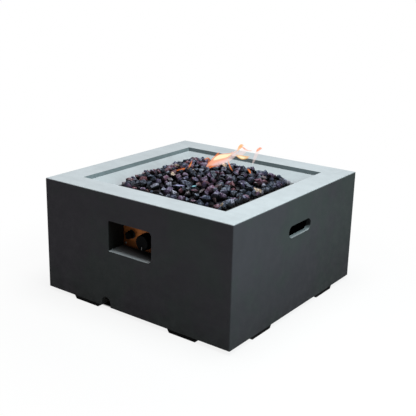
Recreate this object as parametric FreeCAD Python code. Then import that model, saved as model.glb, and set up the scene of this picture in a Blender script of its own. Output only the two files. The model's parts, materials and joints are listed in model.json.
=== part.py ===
import FreeCAD, Part
import math
import os
import random

# Square low gas fire pit. Millimetres, +Z up, control side towards -Y.
# The origin is the centre of the footprint, at floor level.

V = FreeCAD.Vector

# Concrete body
body_side = 680.0
body_height = 348.0
wall = 15.0
edge_round = 3.0
base_lip_width = 45.0
base_lip_height = 15.0
rim_width = 80.0
rim_thickness = 22.0
rebate_depth = 13.0
slope_width = 55.0
opening_depth = 36.0
slab_thickness = 22.0
pan_ledge_width = 12.0
pan_ledge_depth = 2.0

# Feet
foot_height = 12.0
foot_length = 106.0
foot_bevel = 8.0
foot_width = 38.0
foot_inset = 3.0
foot_offset = 180.0
foot_screw_spacing = 60.0
foot_head_recess = 2.0

# Window for the controls
window_width = 160.0
window_height = 92.0
window_centre_x = -7.0
window_top_below_rim = 80.0
window_left_corner = 3.0
window_right_corner = 14.0
recess_depth = 66.0
tunnel_wall = 12.0

# Hand slots in the two sides
slot_length = 124.0
slot_height = 36.0
slot_top_below_rim = 79.0

# Notch for the gas hose, at the floor
notch_width = 36.0
notch_height = 30.0
notch_x = -100.0

# Burner pan
pan_sheet = 1.5
pan_depth = 55.0
pan_side_gap = 1.0
pan_flange_gap = 1.0
drain_radius = 4.0
drain_ring_radius = 90.0
drain_count = 8

# Ring burner
ring_to_pan_wall = 50.5
ring_tube_radius = 9.5
ring_tube_wall = 1.2
ring_height = 25.0
spoke_radius = 8.0
hub_radius = 16.0
hub_flange_radius = 24.0
hub_flange_height = 2.0
hub_above_spokes = 2.0
stub_radius = 10.0
stub_length = 16.0
port_radius = 1.2
port_count = 36
locknut_flats = 27.0
locknut_height = 6.0

# Gas mixer and jet under the pan
mixer_radius = 14.0
mixer_wall = 2.0
mixer_length = 52.0
air_hole_width = 10.0
air_hole_height = 18.0
air_hole_above_end = 8.0
jet_body_radius = 9.0
jet_body_height = 22.0
jet_arm_radius = 7.0
jet_arm_length = 24.0
jet_arm_rise = 1.5
jet_riser_radius = 2.0
jet_above_mixer_end = 6.0
orifice_length = 2.0

# Heat shield
shield_side = 230.0
shield_sheet = 1.2
shield_post_inset = 15.0
shield_mixer_gap = 6.0
spacer_length = 26.0
spacer_radius = 5.0
stud_radius = 2.5
stud_nut_flats = 8.0
stud_nut_height = 4.0
stud_past_nut = 2.0

# Igniter guard and its electrode and thermocouple
guard_width = 56.0
guard_height = 32.0
guard_sheet = 1.0
guard_gap = 2.0
guard_slit_width = 3.0
guard_slit_inset = 5.0
guard_slit_count = 5
probe_spacing = 22.0
insulator_radius = 4.0
insulator_above = 17.0
insulator_below = 12.0
electrode_radius = 1.2
electrode_above = 9.0
electrode_below = 3.0
thermocouple_radius = 2.5
thermocouple_above = 24.0
thermocouple_below = 12.0
probe_collar_radius = 6.0
probe_collar_height = 2.5
probe_plate_sheet = 1.5
probe_plate_width = 46.0
probe_plate_depth = 14.0

# Control box and panel
box_sheet = 1.2
box_flange = 12.0
box_pan_gap = 8.0
terminal_gap = 7.0
pipe_hole_gap = 2.0
panel_sheet = 1.2
panel_gap = 0.75
panel_screw_inset = 10.0
controls_below_window_centre = 10.0

# Gas valve
knob_from_window_centre = 14.5
valve_radius = 17.0
valve_length = 38.0
valve_neck_radius = 8.0
valve_neck_length = 5.5
valve_nut_flats = 22.0
valve_nut_height = 4.0
valve_cavity_radius = 10.0
valve_cavity_start = 12.0
valve_cavity_length = 18.0
valve_outlet_radius = 7.0
valve_outlet_length = 14.0
valve_inlet_radius = 7.5
valve_inlet_drop = 28.0
valve_inlet_back = 19.0
probe_port_side = 13.0
probe_port_up = 6.0
probe_port_wall = 2.5
probe_port_length = 9.0
inlet_boss_sunk = 6.0
outlet_bore_start = 3.0

# Knob and stem
knob_radius = 24.0
knob_front_radius = 22.5
knob_length = 24.0
knob_stand_off = 4.8
knob_wall = 3.0
knob_boss_radius = 7.0
knob_flute_radius = 3.0
knob_flute_count = 18
knob_edge = 1.5
knob_plain_band = 4.0
pointer_width = 2.4
pointer_length = 10.0
pointer_proud = 0.6
pointer_sunk = 1.0
stem_radius = 3.0
stem_in_knob = 14.0
collar_thickness = 2.0
knob_travel = 4.0

# Igniter
igniter_from_window_centre = -47.0
igniter_above_knob = 5.5
igniter_body_radius = 10.0
igniter_body_wall = 2.4
igniter_neck_radius = 8.0
igniter_neck_wall = 2.0
igniter_neck_length = 11.8
bezel_radius = 13.0
bezel_height = 3.5
bezel_edge = 1.0
button_radius = 11.5
button_wall = 3.2
button_front = 2.0
button_edge = 1.6
button_length = 9.3
igniter_travel = 4.0
battery_radius = 7.0
battery_length = 50.0
battery_nub_height = 1.5
battery_nub_radius = 2.8
battery_slack = 4.2
terminal_length = 8.0
terminal_width = 6.3
terminal_sheet = 0.8
terminal_hole_radius = 1.0

# Springs
valve_spring_radius = 6.5
valve_spring_wire = 0.55
igniter_spring_radius = 4.6
igniter_spring_wire = 0.45
spring_turns = 5

# Gas inlet behind the notch
inlet_radius = 7.94
inlet_length = 15.0
inlet_thread_radius = 8.5
inlet_height = 23.0
inlet_rear_radius = 8.0
inlet_rear_length = 28.0
inlet_nut_flats = 22.0
inlet_nut_height = 6.0
bracket_sheet = 1.5
bracket_wing = 22.0
bracket_height = 24.0
bracket_notch_gap = 1.0

# Tubes and leads
gas_tube_radius = 4.0
gas_tube_bore = 3.0
supply_radius = 5.0
supply_bore = 4.0
tube_nut_height = 11.0
tube_nut_flats = 17.0
lead_radius = 2.0
probe_lead_radius = 1.25
gas_tube_past_box = 35.0
ignition_past_box = 18.0
ignition_rise = 12.0
probe_past_box = 10.0
probe_rise = 8.0
grommet_wall = 2.5
grommet_flange_width = 1.8
grommet_flange_height = 1.4

# Route of the supply pipe: straight out of the inlet, across to the valve, then up
supply_lead_in = 62.0
supply_bend_x = 42.0
supply_bend_y = 88.0
supply_turn_behind_valve = 44.0
supply_first_rise = 0.36
supply_second_rise = 0.5
supply_third_rise = 0.72

# Screws
small_shank = 2.0
small_head = 4.0
small_head_height = 2.4
large_shank = 2.5
large_head = 5.0
large_head_height = 3.0
thread_length = 12.0
thread_end_gap = 1.0
panel_thread_length = 5.0
insert_wall = 1.5

# Clearances, and how far a cutter passes the face that it opens
running = 0.05
loose = 0.3
hole_gap = 0.3
seat_gap = 0.5
past = 1.0

# Lava rocks
rock_pitch = 29.0
rock_gap = 0.8
rock_height = 24.0
rock_height_spread = 5.0
rock_sides = 5
mound_rise = 36.0
mound_fullness = 2.5
mound_steps = 6
random_seed = 7

# Levels, from the floor up
body_bottom = foot_height
body_top = body_bottom + body_height
opening_edge_z = body_top - opening_depth
pan_seat_z = opening_edge_z - pan_ledge_depth
pan_top_z = pan_seat_z + pan_sheet
pan_floor_z = pan_top_z - pan_depth
pan_bottom_z = pan_floor_z - pan_sheet
slab_bottom_z = opening_edge_z - slab_thickness
ring_z = pan_floor_z + ring_height
shield_top_z = pan_bottom_z - spacer_length
shield_bottom_z = shield_top_z - shield_sheet
stub_bottom_z = pan_bottom_z - stub_length
mixer_top_z = pan_bottom_z - locknut_height
mixer_bottom_z = mixer_top_z - mixer_length
jet_bottom_z = mixer_bottom_z - jet_body_height + loose
jet_arm_z = jet_bottom_z + jet_arm_radius + jet_arm_rise
window_top_z = body_top - window_top_below_rim
window_bottom_z = window_top_z - window_height
controls_z = (window_top_z + window_bottom_z) / 2 - controls_below_window_centre
igniter_z = controls_z + igniter_above_knob
slot_top_z = body_top - slot_top_below_rim
slot_bottom_z = slot_top_z - slot_height

# Distances from the middle
body_half = body_side / 2
rim_inner_half = body_half - rim_width
opening_half = rim_inner_half - slope_width
hole_half = opening_half - pan_ledge_width
pan_outer_half = hole_half - pan_side_gap
pan_inner_half = pan_outer_half - pan_sheet
pan_flange_half = opening_half - pan_flange_gap
ring_radius = pan_inner_half - ring_to_pan_wall
window_left = window_centre_x - window_width / 2
window_right = window_centre_x + window_width / 2
recess_y = -body_half + recess_depth
panel_front_y = recess_y - panel_sheet
igniter_body_length = battery_length + battery_slack + 2 * igniter_body_wall
box_depth = igniter_body_length + terminal_length + terminal_gap
box_back_y = recess_y + box_depth
box_left = window_left + panel_gap
box_right = window_right - panel_gap
box_bottom_z = window_bottom_z + panel_gap
box_top_z = pan_bottom_z - box_pan_gap
knob_x = window_centre_x + knob_from_window_centre
igniter_x = window_centre_x + igniter_from_window_centre
station_x = (knob_x + igniter_x) / 2
station_y = -(ring_radius + ring_tube_radius + pan_inner_half) / 2
guard_depth = pan_inner_half - ring_radius - ring_tube_radius - 2 * guard_gap
electrode_x = station_x - probe_spacing / 2
thermocouple_x = station_x + probe_spacing / 2
probe_seat_z = pan_floor_z + probe_plate_sheet

# Valve, stem and knob along Y
valve_back_y = recess_y + valve_length
valve_outlet_y = valve_back_y + valve_outlet_length
cavity_front_y = recess_y + valve_cavity_start
cavity_back_y = cavity_front_y + valve_cavity_length
knob_back_y = panel_front_y - knob_stand_off
knob_front_y = knob_back_y - knob_length
stem_front_y = knob_front_y + knob_length - stem_in_knob
inlet_boss_y = recess_y + valve_inlet_back
inlet_boss_z = controls_z - valve_inlet_drop

# Igniter along Y
igniter_back_y = recess_y + igniter_body_length
neck_front_y = panel_front_y - igniter_neck_length
button_front_y = neck_front_y - igniter_travel - button_front - loose
button_inner_y = button_front_y + button_front

# Gas inlet
bracket_y = -body_half + base_lip_width + loose
lip_top_z = body_bottom + base_lip_height


def box(x0, x1, y0, y1, z0, z1):
    return Part.makeBox(x1 - x0, y1 - y0, z1 - z0, V(x0, y0, z0))


def square_block(half, z0, z1):
    return box(-half, half, -half, half, z0, z1)


def cylinder_x(radius, y, z, x0, x1):
    return Part.makeCylinder(radius, x1 - x0, V(x0, y, z), V(1, 0, 0))


def cylinder_y(radius, x, z, y0, y1):
    return Part.makeCylinder(radius, y1 - y0, V(x, y0, z), V(0, 1, 0))


def cylinder_z(radius, x, y, z0, z1):
    return Part.makeCylinder(radius, z1 - z0, V(x, y, z0))


def square_wire(half, z):
    corners = [V(-half, -half, z), V(half, -half, z), V(half, half, z), V(-half, half, z)]
    return Part.makePolygon(corners + corners[:1])


def rounded_block_y(x0, x1, z0, z1, left_radius, right_radius, y0, y1):
    """A block whose edges along Y are rounded, the two at its left unlike the two at its right."""
    block = box(x0, x1, y0, y1, z0, z1)
    for x, radius in ((x0, left_radius), (x1, right_radius)):
        along = [edge for edge in block.Edges if abs(edge.BoundBox.YLength - (y1 - y0)) < 1e-6]
        block = block.makeFillet(radius, [edge for edge in along if abs(edge.BoundBox.Center.x - x) < 1e-6])
    return block


def hexagon(flats, height):
    """A hexagonal prism standing on the XY plane."""
    reach = flats / math.sqrt(3)
    angles = [math.radians(60 * step) for step in range(6)]
    corners = [V(reach * math.cos(angle), reach * math.sin(angle), 0) for angle in angles]
    face = Part.Face(Part.makePolygon(corners + corners[:1]))
    return face.extrude(V(0, 0, height))


def hex_nut(flats, height, bore):
    return hexagon(flats, height).cut(Part.makeCylinder(bore, height))


def screw(shank_radius, head_radius, head_height, length):
    """A cross-head screw: its head stands on the XY plane and its shank points down."""
    head = Part.makeCylinder(head_radius, head_height)
    head = head.makeFillet(head_height * 0.4, [edge_at(head, head_height)])
    shank = Part.makeCylinder(shank_radius, length, V(0, 0, -length))
    blade = head_radius * 0.6
    slit = shank_radius * 0.2
    depth = head_height * 0.5
    cross = box(-blade, blade, -slit, slit, depth, head_height)
    cross = cross.fuse(box(-slit, slit, -blade, blade, depth, head_height))
    return head.fuse(shank).cut(cross).removeSplitter()


def small_screw(length):
    return screw(small_shank, small_head, small_head_height, length)


def large_screw(length):
    return screw(large_shank, large_head, large_head_height, length)


def edge_at(shape, z):
    """The round edge of a turned piece that lies at height z."""
    for edge in shape.Edges:
        flat = edge.BoundBox.ZLength < 1e-6
        if flat and abs(edge.BoundBox.ZMin - z) < 1e-6:
            return edge
    raise ValueError("no edge at that height")


def placed(shape, origin, direction):
    """The shape with its +Z turned to the direction and its base moved to the origin."""
    moved = shape.copy()
    moved.Placement = FreeCAD.Placement(origin, FreeCAD.Rotation(V(0, 0, 1), direction))
    return moved


def turned(shape, degrees):
    return shape.copy().rotate(V(0, 0, 0), V(0, 0, 1), degrees)


def group(solids):
    return Part.makeCompound(solids)


def fuse_all(solids):
    return solids[0].fuse(solids[1:])


def route_wire(name, points):
    """Straight runs joined by tangent arcs, as large as the shorter run at each corner allows."""
    edges = []
    start = points[0]
    radii = []
    for before, corner, after in zip(points, points[1:], points[2:]):
        run_in = corner - before
        run_out = after - corner
        turn = run_in.getAngle(run_out)
        cut_back = 0.45 * min(run_in.Length, run_out.Length)
        radius = cut_back / math.tan(turn / 2)
        unit_in = V(run_in).normalize()
        unit_out = V(run_out).normalize()
        arc_start = corner - unit_in * cut_back
        arc_end = corner + unit_out * cut_back
        to_centre = (unit_out - unit_in).normalize()
        centre = corner + to_centre * (radius / math.cos(turn / 2))
        arc_middle = centre - to_centre * radius
        edges.append(Part.LineSegment(start, arc_start).toShape())
        edges.append(Part.Arc(arc_start, arc_middle, arc_end).toShape())
        start = arc_end
        radii.append(round(radius, 1))
    edges.append(Part.LineSegment(start, points[-1]).toShape())
    print(name, "bend radii", radii, "length", round(sum(edge.Length for edge in edges), 1))
    return Part.Wire(edges)


def tube(name, points, radius, bore=0.0):
    """A round tube or solid lead along a route."""
    wire = route_wire(name, points)
    direction = points[1] - points[0]
    ring = Part.Wire(Part.makeCircle(radius, points[0], direction))
    solid = wire.makePipeShell([ring], True, False)
    if bore:
        hole = Part.Wire(Part.makeCircle(bore, points[0], direction))
        solid = solid.cut(wire.makePipeShell([hole], True, False))
    section = math.pi * (radius ** 2 - bore ** 2)
    print(name, "volume over section times length", round(solid.Volume / section / wire.Length, 4))
    return solid


def coil(radius, wire_radius, turns, x, z, y0, y1):
    """A compression spring along Y, made of quarter-turn arcs."""
    free = y1 - y0 - 2 * wire_radius
    quarters = 4 * turns
    rise = free / quarters

    def point(quarter):
        angle = math.radians(90 * quarter)
        y = y0 + wire_radius + rise * quarter
        return V(x + radius * math.cos(angle), y, z + radius * math.sin(angle))

    arcs = [Part.Arc(point(q), point(q + 0.5), point(q + 1)).toShape() for q in range(quarters)]
    path = Part.Wire(arcs)
    heading = arcs[0].tangentAt(arcs[0].FirstParameter)
    ring = Part.Wire(Part.makeCircle(wire_radius, point(0), heading))
    print("spring least gap between turns", round(4 * rise - 2 * wire_radius, 2))
    return path.makePipeShell([ring], True, False)


def foot_places():
    """Side number and offset along that side, for each foot."""
    return [(side, offset) for side in range(4) for offset in (-foot_offset, foot_offset)]


def foot_screw_places():
    spread = foot_screw_spacing / 2
    return [(side, offset + step) for side, offset in foot_places() for step in (-spread, spread)]


def foot_line_y():
    return -body_half + foot_inset + foot_width / 2


def concrete_body():
    block = square_block(body_half, body_bottom, body_top)
    rounded = []
    for edge in block.Edges:
        upright = edge.BoundBox.ZLength > 1
        if upright or edge.BoundBox.ZMin > body_top - 1e-6:
            rounded.append(edge)
    body = block.makeFillet(edge_round, rounded)
    rebate_z = body_top - rebate_depth
    body = body.cut(square_block(rim_inner_half, rebate_z, body_top + past))
    slope = Part.makeLoft(
        [square_wire(rim_inner_half, rebate_z), square_wire(opening_half, opening_edge_z)],
        True,
        True,
    )
    body = body.cut(slope)
    body = body.cut(square_block(opening_half, pan_seat_z, opening_edge_z))
    body = body.cut(square_block(hole_half, slab_bottom_z - past, pan_seat_z))
    body = body.cut(hollow_under_slab())
    body = body.fuse(window_tunnel())
    body = body.cut(window_opening())
    body = body.cut(fuse_all([hand_slot(-1), hand_slot(1)]))
    body = body.cut(hose_notch())
    return body.cut(group(concrete_holes())).removeSplitter()


def hollow_under_slab():
    inner_half = body_half - wall
    hollow = square_block(inner_half, lip_top_z, body_top - rim_thickness)
    slab = square_block(rim_inner_half + wall, slab_bottom_z, body_top)
    hollow = hollow.cut(slab)
    mouth = square_block(body_half - base_lip_width, body_bottom - past, lip_top_z)
    return hollow.fuse(mouth)


def window_tunnel():
    return box(
        window_left - tunnel_wall,
        window_right + tunnel_wall,
        -body_half + wall / 2,
        recess_y,
        window_bottom_z - tunnel_wall,
        window_top_z + tunnel_wall,
    )


def window_opening():
    return rounded_block_y(
        window_left,
        window_right,
        window_bottom_z,
        window_top_z,
        window_left_corner,
        window_right_corner,
        -body_half - past,
        recess_y + past,
    )


def hand_slot(side):
    end_radius = slot_height / 2
    middle_z = (slot_top_z + slot_bottom_z) / 2
    straight = slot_length / 2 - end_radius
    x0 = side * (body_half - wall / 2) - wall
    x1 = x0 + 2 * wall
    left = cylinder_x(end_radius, -straight, middle_z, x0, x1)
    right = cylinder_x(end_radius, straight, middle_z, x0, x1)
    return fuse_all([box(x0, x1, -straight, straight, slot_bottom_z, slot_top_z), left, right])


def hose_notch():
    radius = notch_width / 2
    arch_z = body_bottom + notch_height - radius
    y0 = -body_half - past
    y1 = -body_half + base_lip_width + past
    sides = box(notch_x - radius, notch_x + radius, y0, y1, body_bottom - past, arch_z)
    return sides.fuse(cylinder_y(radius, notch_x, arch_z, y0, y1))


def concrete_holes():
    """Blind holes for the foot, box, bracket and pan screws."""
    holes = []
    thread_depth = thread_length + thread_end_gap
    for side, offset in foot_screw_places():
        top = body_bottom + thread_depth
        hole = cylinder_z(large_shank + running, offset, foot_line_y(), body_bottom - past, top)
        holes.append(turned(hole, 90 * side))
    for x, z in box_screw_places():
        holes.append(cylinder_y(small_shank + running, x, z, recess_y - thread_depth, recess_y + past))
    for x, y in bracket_screw_places():
        holes.append(cylinder_z(small_shank + running, x, y, lip_top_z - thread_depth, lip_top_z + past))
    for x, y in pan_screw_places():
        holes.append(cylinder_z(insert_radius(), x, y, pan_seat_z - insert_length(), pan_seat_z + past))
    return holes


def insert_radius():
    return small_shank + insert_wall


def insert_length():
    return thread_length


def pan_screw_places():
    """Corners of the flange, in the middle of the ledge."""
    reach = opening_half - pan_ledge_width / 2
    return [(reach * x, reach * y) for x in (-1, 1) for y in (-1, 1)]


def box_screw_places():
    half = tunnel_wall / 2
    xs = (window_left - half, window_right + half)
    zs = (window_bottom_z + window_right_corner, window_top_z - window_right_corner)
    return [(x, z) for x in xs for z in zs]


def bracket_screw_places():
    reach = notch_width / 2 + bracket_notch_gap + bracket_wing / 2
    y = -body_half + base_lip_width - box_flange
    return [(notch_x - reach, y), (notch_x + reach, y)]


def foot_pad():
    """One pad at the front side, centred on X: its two ends lean in towards the floor."""
    top = foot_length / 2
    bottom = top - foot_bevel
    corners = [V(-top, 0, foot_height), V(-bottom, 0, 0), V(bottom, 0, 0), V(top, 0, foot_height)]
    pad = Part.Face(Part.makePolygon(corners + corners[:1])).extrude(V(0, foot_width, 0))
    pad.translate(V(0, -body_half + foot_inset, 0))
    return pad


def foot_pads():
    pads = []
    for side, offset in foot_places():
        pad = foot_pad()
        for step in (-foot_screw_spacing / 2, foot_screw_spacing / 2):
            y = foot_line_y()
            pad = pad.cut(cylinder_z(large_shank + hole_gap, step, y, -past, foot_height + past))
            pad = pad.cut(cylinder_z(large_head + hole_gap, step, y, -past, foot_screw_seat_z()))
        pad.translate(V(offset, 0, 0))
        pads.append(turned(pad, 90 * side))
    return group(pads)


def foot_screw_seat_z():
    return large_head_height + foot_head_recess


def foot_screws():
    screws = []
    length = foot_height - foot_screw_seat_z() + thread_length
    for side, offset in foot_screw_places():
        seat = V(offset, foot_line_y(), foot_screw_seat_z())
        screws.append(turned(placed(large_screw(length), seat, V(0, 0, -1)), 90 * side))
    return group(screws)


def burner_pan():
    shell = square_block(pan_outer_half, pan_bottom_z, pan_top_z)
    shell = shell.fuse(square_block(pan_flange_half, pan_seat_z, pan_top_z))
    shell = shell.cut(square_block(pan_inner_half, pan_floor_z, pan_top_z + past))
    holes = [cylinder_z(stub_radius + hole_gap, 0, 0, pan_bottom_z - past, pan_floor_z + past)]
    for step in range(drain_count):
        drain = cylinder_z(drain_radius, drain_ring_radius, 0, pan_bottom_z - past, pan_floor_z + past)
        holes.append(turned(drain, 360 / drain_count * (step + 0.5)))
    for x, radius in probe_holes():
        holes.append(cylinder_z(radius, x, station_y, pan_bottom_z - past, pan_floor_z + past))
    for x, y in pan_screw_places():
        holes.append(cylinder_z(small_shank + hole_gap, x, y, pan_seat_z - past, pan_top_z + past))
    return shell.cut(group(holes))


def probe_holes():
    electrode_hole = insulator_radius + hole_gap
    thermocouple_hole = thermocouple_radius + hole_gap
    return [(electrode_x, electrode_hole), (thermocouple_x, thermocouple_hole)]


def pan_inserts():
    inserts = []
    for x, y in pan_screw_places():
        bottom = pan_seat_z - insert_length()
        sleeve = cylinder_z(insert_radius(), x, y, bottom, pan_seat_z)
        inserts.append(sleeve.cut(cylinder_z(small_shank + running, x, y, bottom, pan_seat_z)))
    return group(inserts)


def pan_screws():
    pan_screw = small_screw(pan_sheet + thread_length - thread_end_gap)
    return group([placed(pan_screw, V(x, y, pan_top_z), V(0, 0, 1)) for x, y in pan_screw_places()])


def burner_outline(thinner):
    """The ring, its two spokes and the hub, all made smaller by one wall when hollowing."""
    ring = Part.makeTorus(ring_radius, ring_tube_radius - thinner, V(0, 0, ring_z))
    spoke = cylinder_x(spoke_radius - thinner, 0, ring_z, -ring_radius, ring_radius)
    top = ring_z + spoke_radius + hub_above_spokes - thinner
    hub = cylinder_z(hub_radius - thinner, 0, 0, pan_floor_z + hub_flange_height + thinner, top)
    return fuse_all([ring, spoke, hub])


def ring_burner():
    flange = cylinder_z(hub_flange_radius, 0, 0, pan_floor_z, pan_floor_z + hub_flange_height)
    stub = cylinder_z(stub_radius, 0, 0, stub_bottom_z, pan_floor_z + hub_flange_height)
    outside = fuse_all([burner_outline(0.0), flange, stub])
    bore = cylinder_z(stub_radius - mixer_wall, 0, 0, stub_bottom_z, ring_z)
    inside = burner_outline(ring_tube_wall).fuse(bore)
    ports = []
    for step in range(port_count):
        port = cylinder_z(port_radius, ring_radius, 0, ring_z, ring_z + ring_tube_radius + past)
        ports.append(turned(port, 360 / port_count * (step + 0.5)))
    return outside.cut(inside).cut(group(ports))


def burner_locknut():
    nut = hex_nut(locknut_flats, locknut_height, stub_radius + running)
    return placed(nut, V(0, 0, pan_bottom_z - locknut_height), V(0, 0, 1))


def air_mixer():
    """A threaded cup over the burner's stub, with four air windows round the jet."""
    body = cylinder_z(mixer_radius, 0, 0, mixer_bottom_z, mixer_top_z)
    socket = cylinder_z(stub_radius + running, 0, 0, stub_bottom_z, mixer_top_z)
    bore = cylinder_z(stub_radius - mixer_wall, 0, 0, mixer_bottom_z, mixer_top_z)
    windows = []
    low = mixer_bottom_z + air_hole_above_end
    for turn in (0, 90):
        window = box(
            -mixer_radius - past,
            mixer_radius + past,
            -air_hole_width / 2,
            air_hole_width / 2,
            low,
            low + air_hole_height,
        )
        windows.append(turned(window, turn))
    return body.cut(fuse_all([socket, bore] + windows))


def gas_jet():
    """A brass elbow under the mixer: the tube meets its arm and the jet stands in its top."""
    jet_top_z = mixer_bottom_z + jet_above_mixer_end
    post = cylinder_z(jet_body_radius, 0, 0, jet_bottom_z, mixer_bottom_z)
    nozzle = cylinder_z(stub_radius - mixer_wall - running, 0, 0, mixer_bottom_z, jet_top_z)
    arm = cylinder_y(jet_arm_radius, 0, jet_arm_z, -jet_arm_length, 0)
    channel = cylinder_y(gas_tube_bore, 0, jet_arm_z, -jet_arm_length, jet_riser_radius)
    riser = cylinder_z(jet_riser_radius, 0, 0, jet_arm_z, jet_top_z - orifice_length)
    orifice = cylinder_z(port_radius, 0, 0, jet_top_z - orifice_length, jet_top_z)
    return fuse_all([post, nozzle, arm]).cut(fuse_all([channel, riser, orifice]))


def gas_tube():
    start = V(knob_x, valve_outlet_y, controls_z)
    end = V(0, -jet_arm_length, jet_arm_z)
    level = box_back_y - valve_outlet_y + gas_tube_past_box
    points = [start, start + V(0, level, 0), end - V(0, level, 0), end]
    return tube("gas tube", points, gas_tube_radius, gas_tube_bore)


def supply_pipe():
    start = V(notch_x, inlet_back_y(), inlet_height)
    end = V(knob_x, inlet_boss_y, inlet_boss_z)
    rise = end.z - start.z
    points = [
        start,
        start + V(0, supply_lead_in, 0),
        start + V(supply_bend_x, supply_bend_y, rise * supply_first_rise),
        V(end.x, end.y + supply_turn_behind_valve, start.z + rise * supply_second_rise),
        V(end.x, end.y, start.z + rise * supply_third_rise),
        end,
    ]
    return tube("supply pipe", points, supply_radius, supply_bore)


def inlet_back_y():
    return bracket_y + bracket_sheet + inlet_rear_length


def tube_nuts():
    """Flare nuts where the two tubes meet the valve, the jet and the inlet."""
    thin = hex_nut(tube_nut_flats, tube_nut_height, gas_tube_radius + running)
    wide = hex_nut(tube_nut_flats, tube_nut_height, supply_radius + running)
    return group([
        placed(thin, V(knob_x, valve_outlet_y, controls_z), V(0, 1, 0)),
        placed(thin, V(0, -jet_arm_length, jet_arm_z), V(0, -1, 0)),
        placed(wide, V(knob_x, inlet_boss_y, inlet_boss_z), V(0, 0, -1)),
        placed(wide, V(notch_x, inlet_back_y(), inlet_height), V(0, 1, 0)),
    ])


def shield_post_places():
    reach = shield_side / 2 - shield_post_inset
    return [(reach * x, reach * y) for x in (-1, 1) for y in (-1, 1)]


def heat_shield():
    plate = square_block(shield_side / 2, shield_bottom_z, shield_top_z)
    low = shield_bottom_z - past
    high = shield_top_z + past
    holes = [cylinder_z(mixer_radius + shield_mixer_gap, 0, 0, low, high)]
    for x, y in shield_post_places():
        holes.append(cylinder_z(stud_radius + hole_gap, x, y, low, high))
    return plate.cut(group(holes))


def shield_studs():
    bottom = shield_bottom_z - stud_nut_height - stud_past_nut
    places = shield_post_places()
    return group([cylinder_z(stud_radius, x, y, bottom, pan_bottom_z) for x, y in places])


def shield_spacers():
    spacers = []
    for x, y in shield_post_places():
        spacer = cylinder_z(spacer_radius, x, y, shield_top_z, pan_bottom_z)
        spacers.append(spacer.cut(cylinder_z(stud_radius + hole_gap, x, y, shield_top_z, pan_bottom_z)))
    return group(spacers)


def shield_nuts():
    nut = hex_nut(stud_nut_flats, stud_nut_height, stud_radius + running)
    places = shield_post_places()
    return group([placed(nut, V(x, y, shield_bottom_z), V(0, 0, -1)) for x, y in places])


def probe_plate():
    half = probe_plate_width / 2
    deep = probe_plate_depth / 2
    plate = box(
        station_x - half,
        station_x + half,
        station_y - deep,
        station_y + deep,
        pan_floor_z,
        probe_seat_z,
    )
    for x, radius in probe_holes():
        plate = plate.cut(cylinder_z(radius, x, station_y, pan_floor_z - past, probe_seat_z + past))
    return plate


def probe_collar(x, bore):
    top = probe_seat_z + probe_collar_height
    collar = cylinder_z(probe_collar_radius, x, station_y, probe_seat_z, top)
    return collar.cut(cylinder_z(bore, x, station_y, probe_seat_z, top))


def electrode_insulator():
    bottom = pan_bottom_z - insulator_below
    top = probe_seat_z + insulator_above
    tube_body = cylinder_z(insulator_radius, electrode_x, station_y, bottom, top)
    body = tube_body.fuse(probe_collar(electrode_x, insulator_radius / 2))
    return body.cut(cylinder_z(electrode_radius + running, electrode_x, station_y, bottom, top))


def electrode_pin():
    bottom = pan_bottom_z - insulator_below - electrode_below
    top = probe_seat_z + insulator_above + electrode_above
    return cylinder_z(electrode_radius, electrode_x, station_y, bottom, top)


def thermocouple_tip():
    bottom = pan_bottom_z - thermocouple_below
    top = probe_seat_z + thermocouple_above
    tip = cylinder_z(thermocouple_radius, thermocouple_x, station_y, bottom, top)
    tip = tip.makeFillet(thermocouple_radius * 0.6, [edge_at(tip, top)])
    return tip.fuse(probe_collar(thermocouple_x, thermocouple_radius / 2))


def igniter_guard():
    """A folded cover that keeps the rocks off the electrode, open at the burner side."""
    half = guard_width / 2
    deep = guard_depth / 2
    top = pan_floor_z + guard_height
    y0 = station_y - deep
    y1 = station_y + deep
    cover = box(station_x - half, station_x + half, y0, y1, pan_floor_z, top)
    inner = half - guard_sheet
    inside = box(
        station_x - inner,
        station_x + inner,
        y0 + guard_sheet,
        y1 + past,
        pan_floor_z - past,
        top - guard_sheet,
    )
    cover = cover.cut(inside)
    slit_half = guard_slit_width / 2
    slit_pitch = guard_width / (guard_slit_count + 1)
    for step in range(guard_slit_count):
        x = station_x + (step - (guard_slit_count - 1) / 2) * slit_pitch
        slit = box(
            x - slit_half,
            x + slit_half,
            y0 + guard_slit_inset,
            y1 - guard_slit_inset,
            top - guard_sheet - past,
            top + past,
        )
        cover = cover.cut(slit)
    return cover


def ignition_lead():
    start = V(igniter_x, igniter_back_y + terminal_length, igniter_z)
    end = V(electrode_x, station_y, pan_bottom_z - insulator_below - electrode_below)
    points = [
        start,
        V(start.x, box_back_y + ignition_past_box, start.z),
        V(end.x, end.y, start.z + ignition_rise),
        end,
    ]
    return tube("ignition lead", points, lead_radius)


def thermocouple_lead():
    start = V(knob_x - probe_port_side, valve_back_y, controls_z + probe_port_up)
    end = V(thermocouple_x, station_y, pan_bottom_z - thermocouple_below)
    points = [
        start,
        V(start.x, box_back_y + probe_past_box, start.z),
        V(end.x, end.y, start.z + probe_rise),
        end,
    ]
    return tube("thermocouple lead", points, probe_lead_radius)


def back_wall_holes():
    """Places and radii of what passes through the box's back wall: x, z, radius."""
    return [
        (knob_x, controls_z, gas_tube_radius),
        (igniter_x, igniter_z, lead_radius),
        (knob_x - probe_port_side, controls_z + probe_port_up, probe_lead_radius),
    ]


def grommet_neck(radius):
    return radius + grommet_wall


def grommet(radius, sheet):
    """A rubber ring in a sheet: its middle plane is the XY plane."""
    neck = grommet_neck(radius)
    flange = neck + grommet_flange_width
    reach = sheet / 2
    rim = grommet_flange_height
    body = Part.makeCylinder(neck, sheet, V(0, 0, -reach))
    body = body.fuse(Part.makeCylinder(flange, rim, V(0, 0, reach)))
    body = body.fuse(Part.makeCylinder(flange, rim, V(0, 0, -reach - rim)))
    bore = Part.makeCylinder(radius + running, sheet + 2 * rim, V(0, 0, -reach - rim))
    return body.cut(bore)


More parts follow.
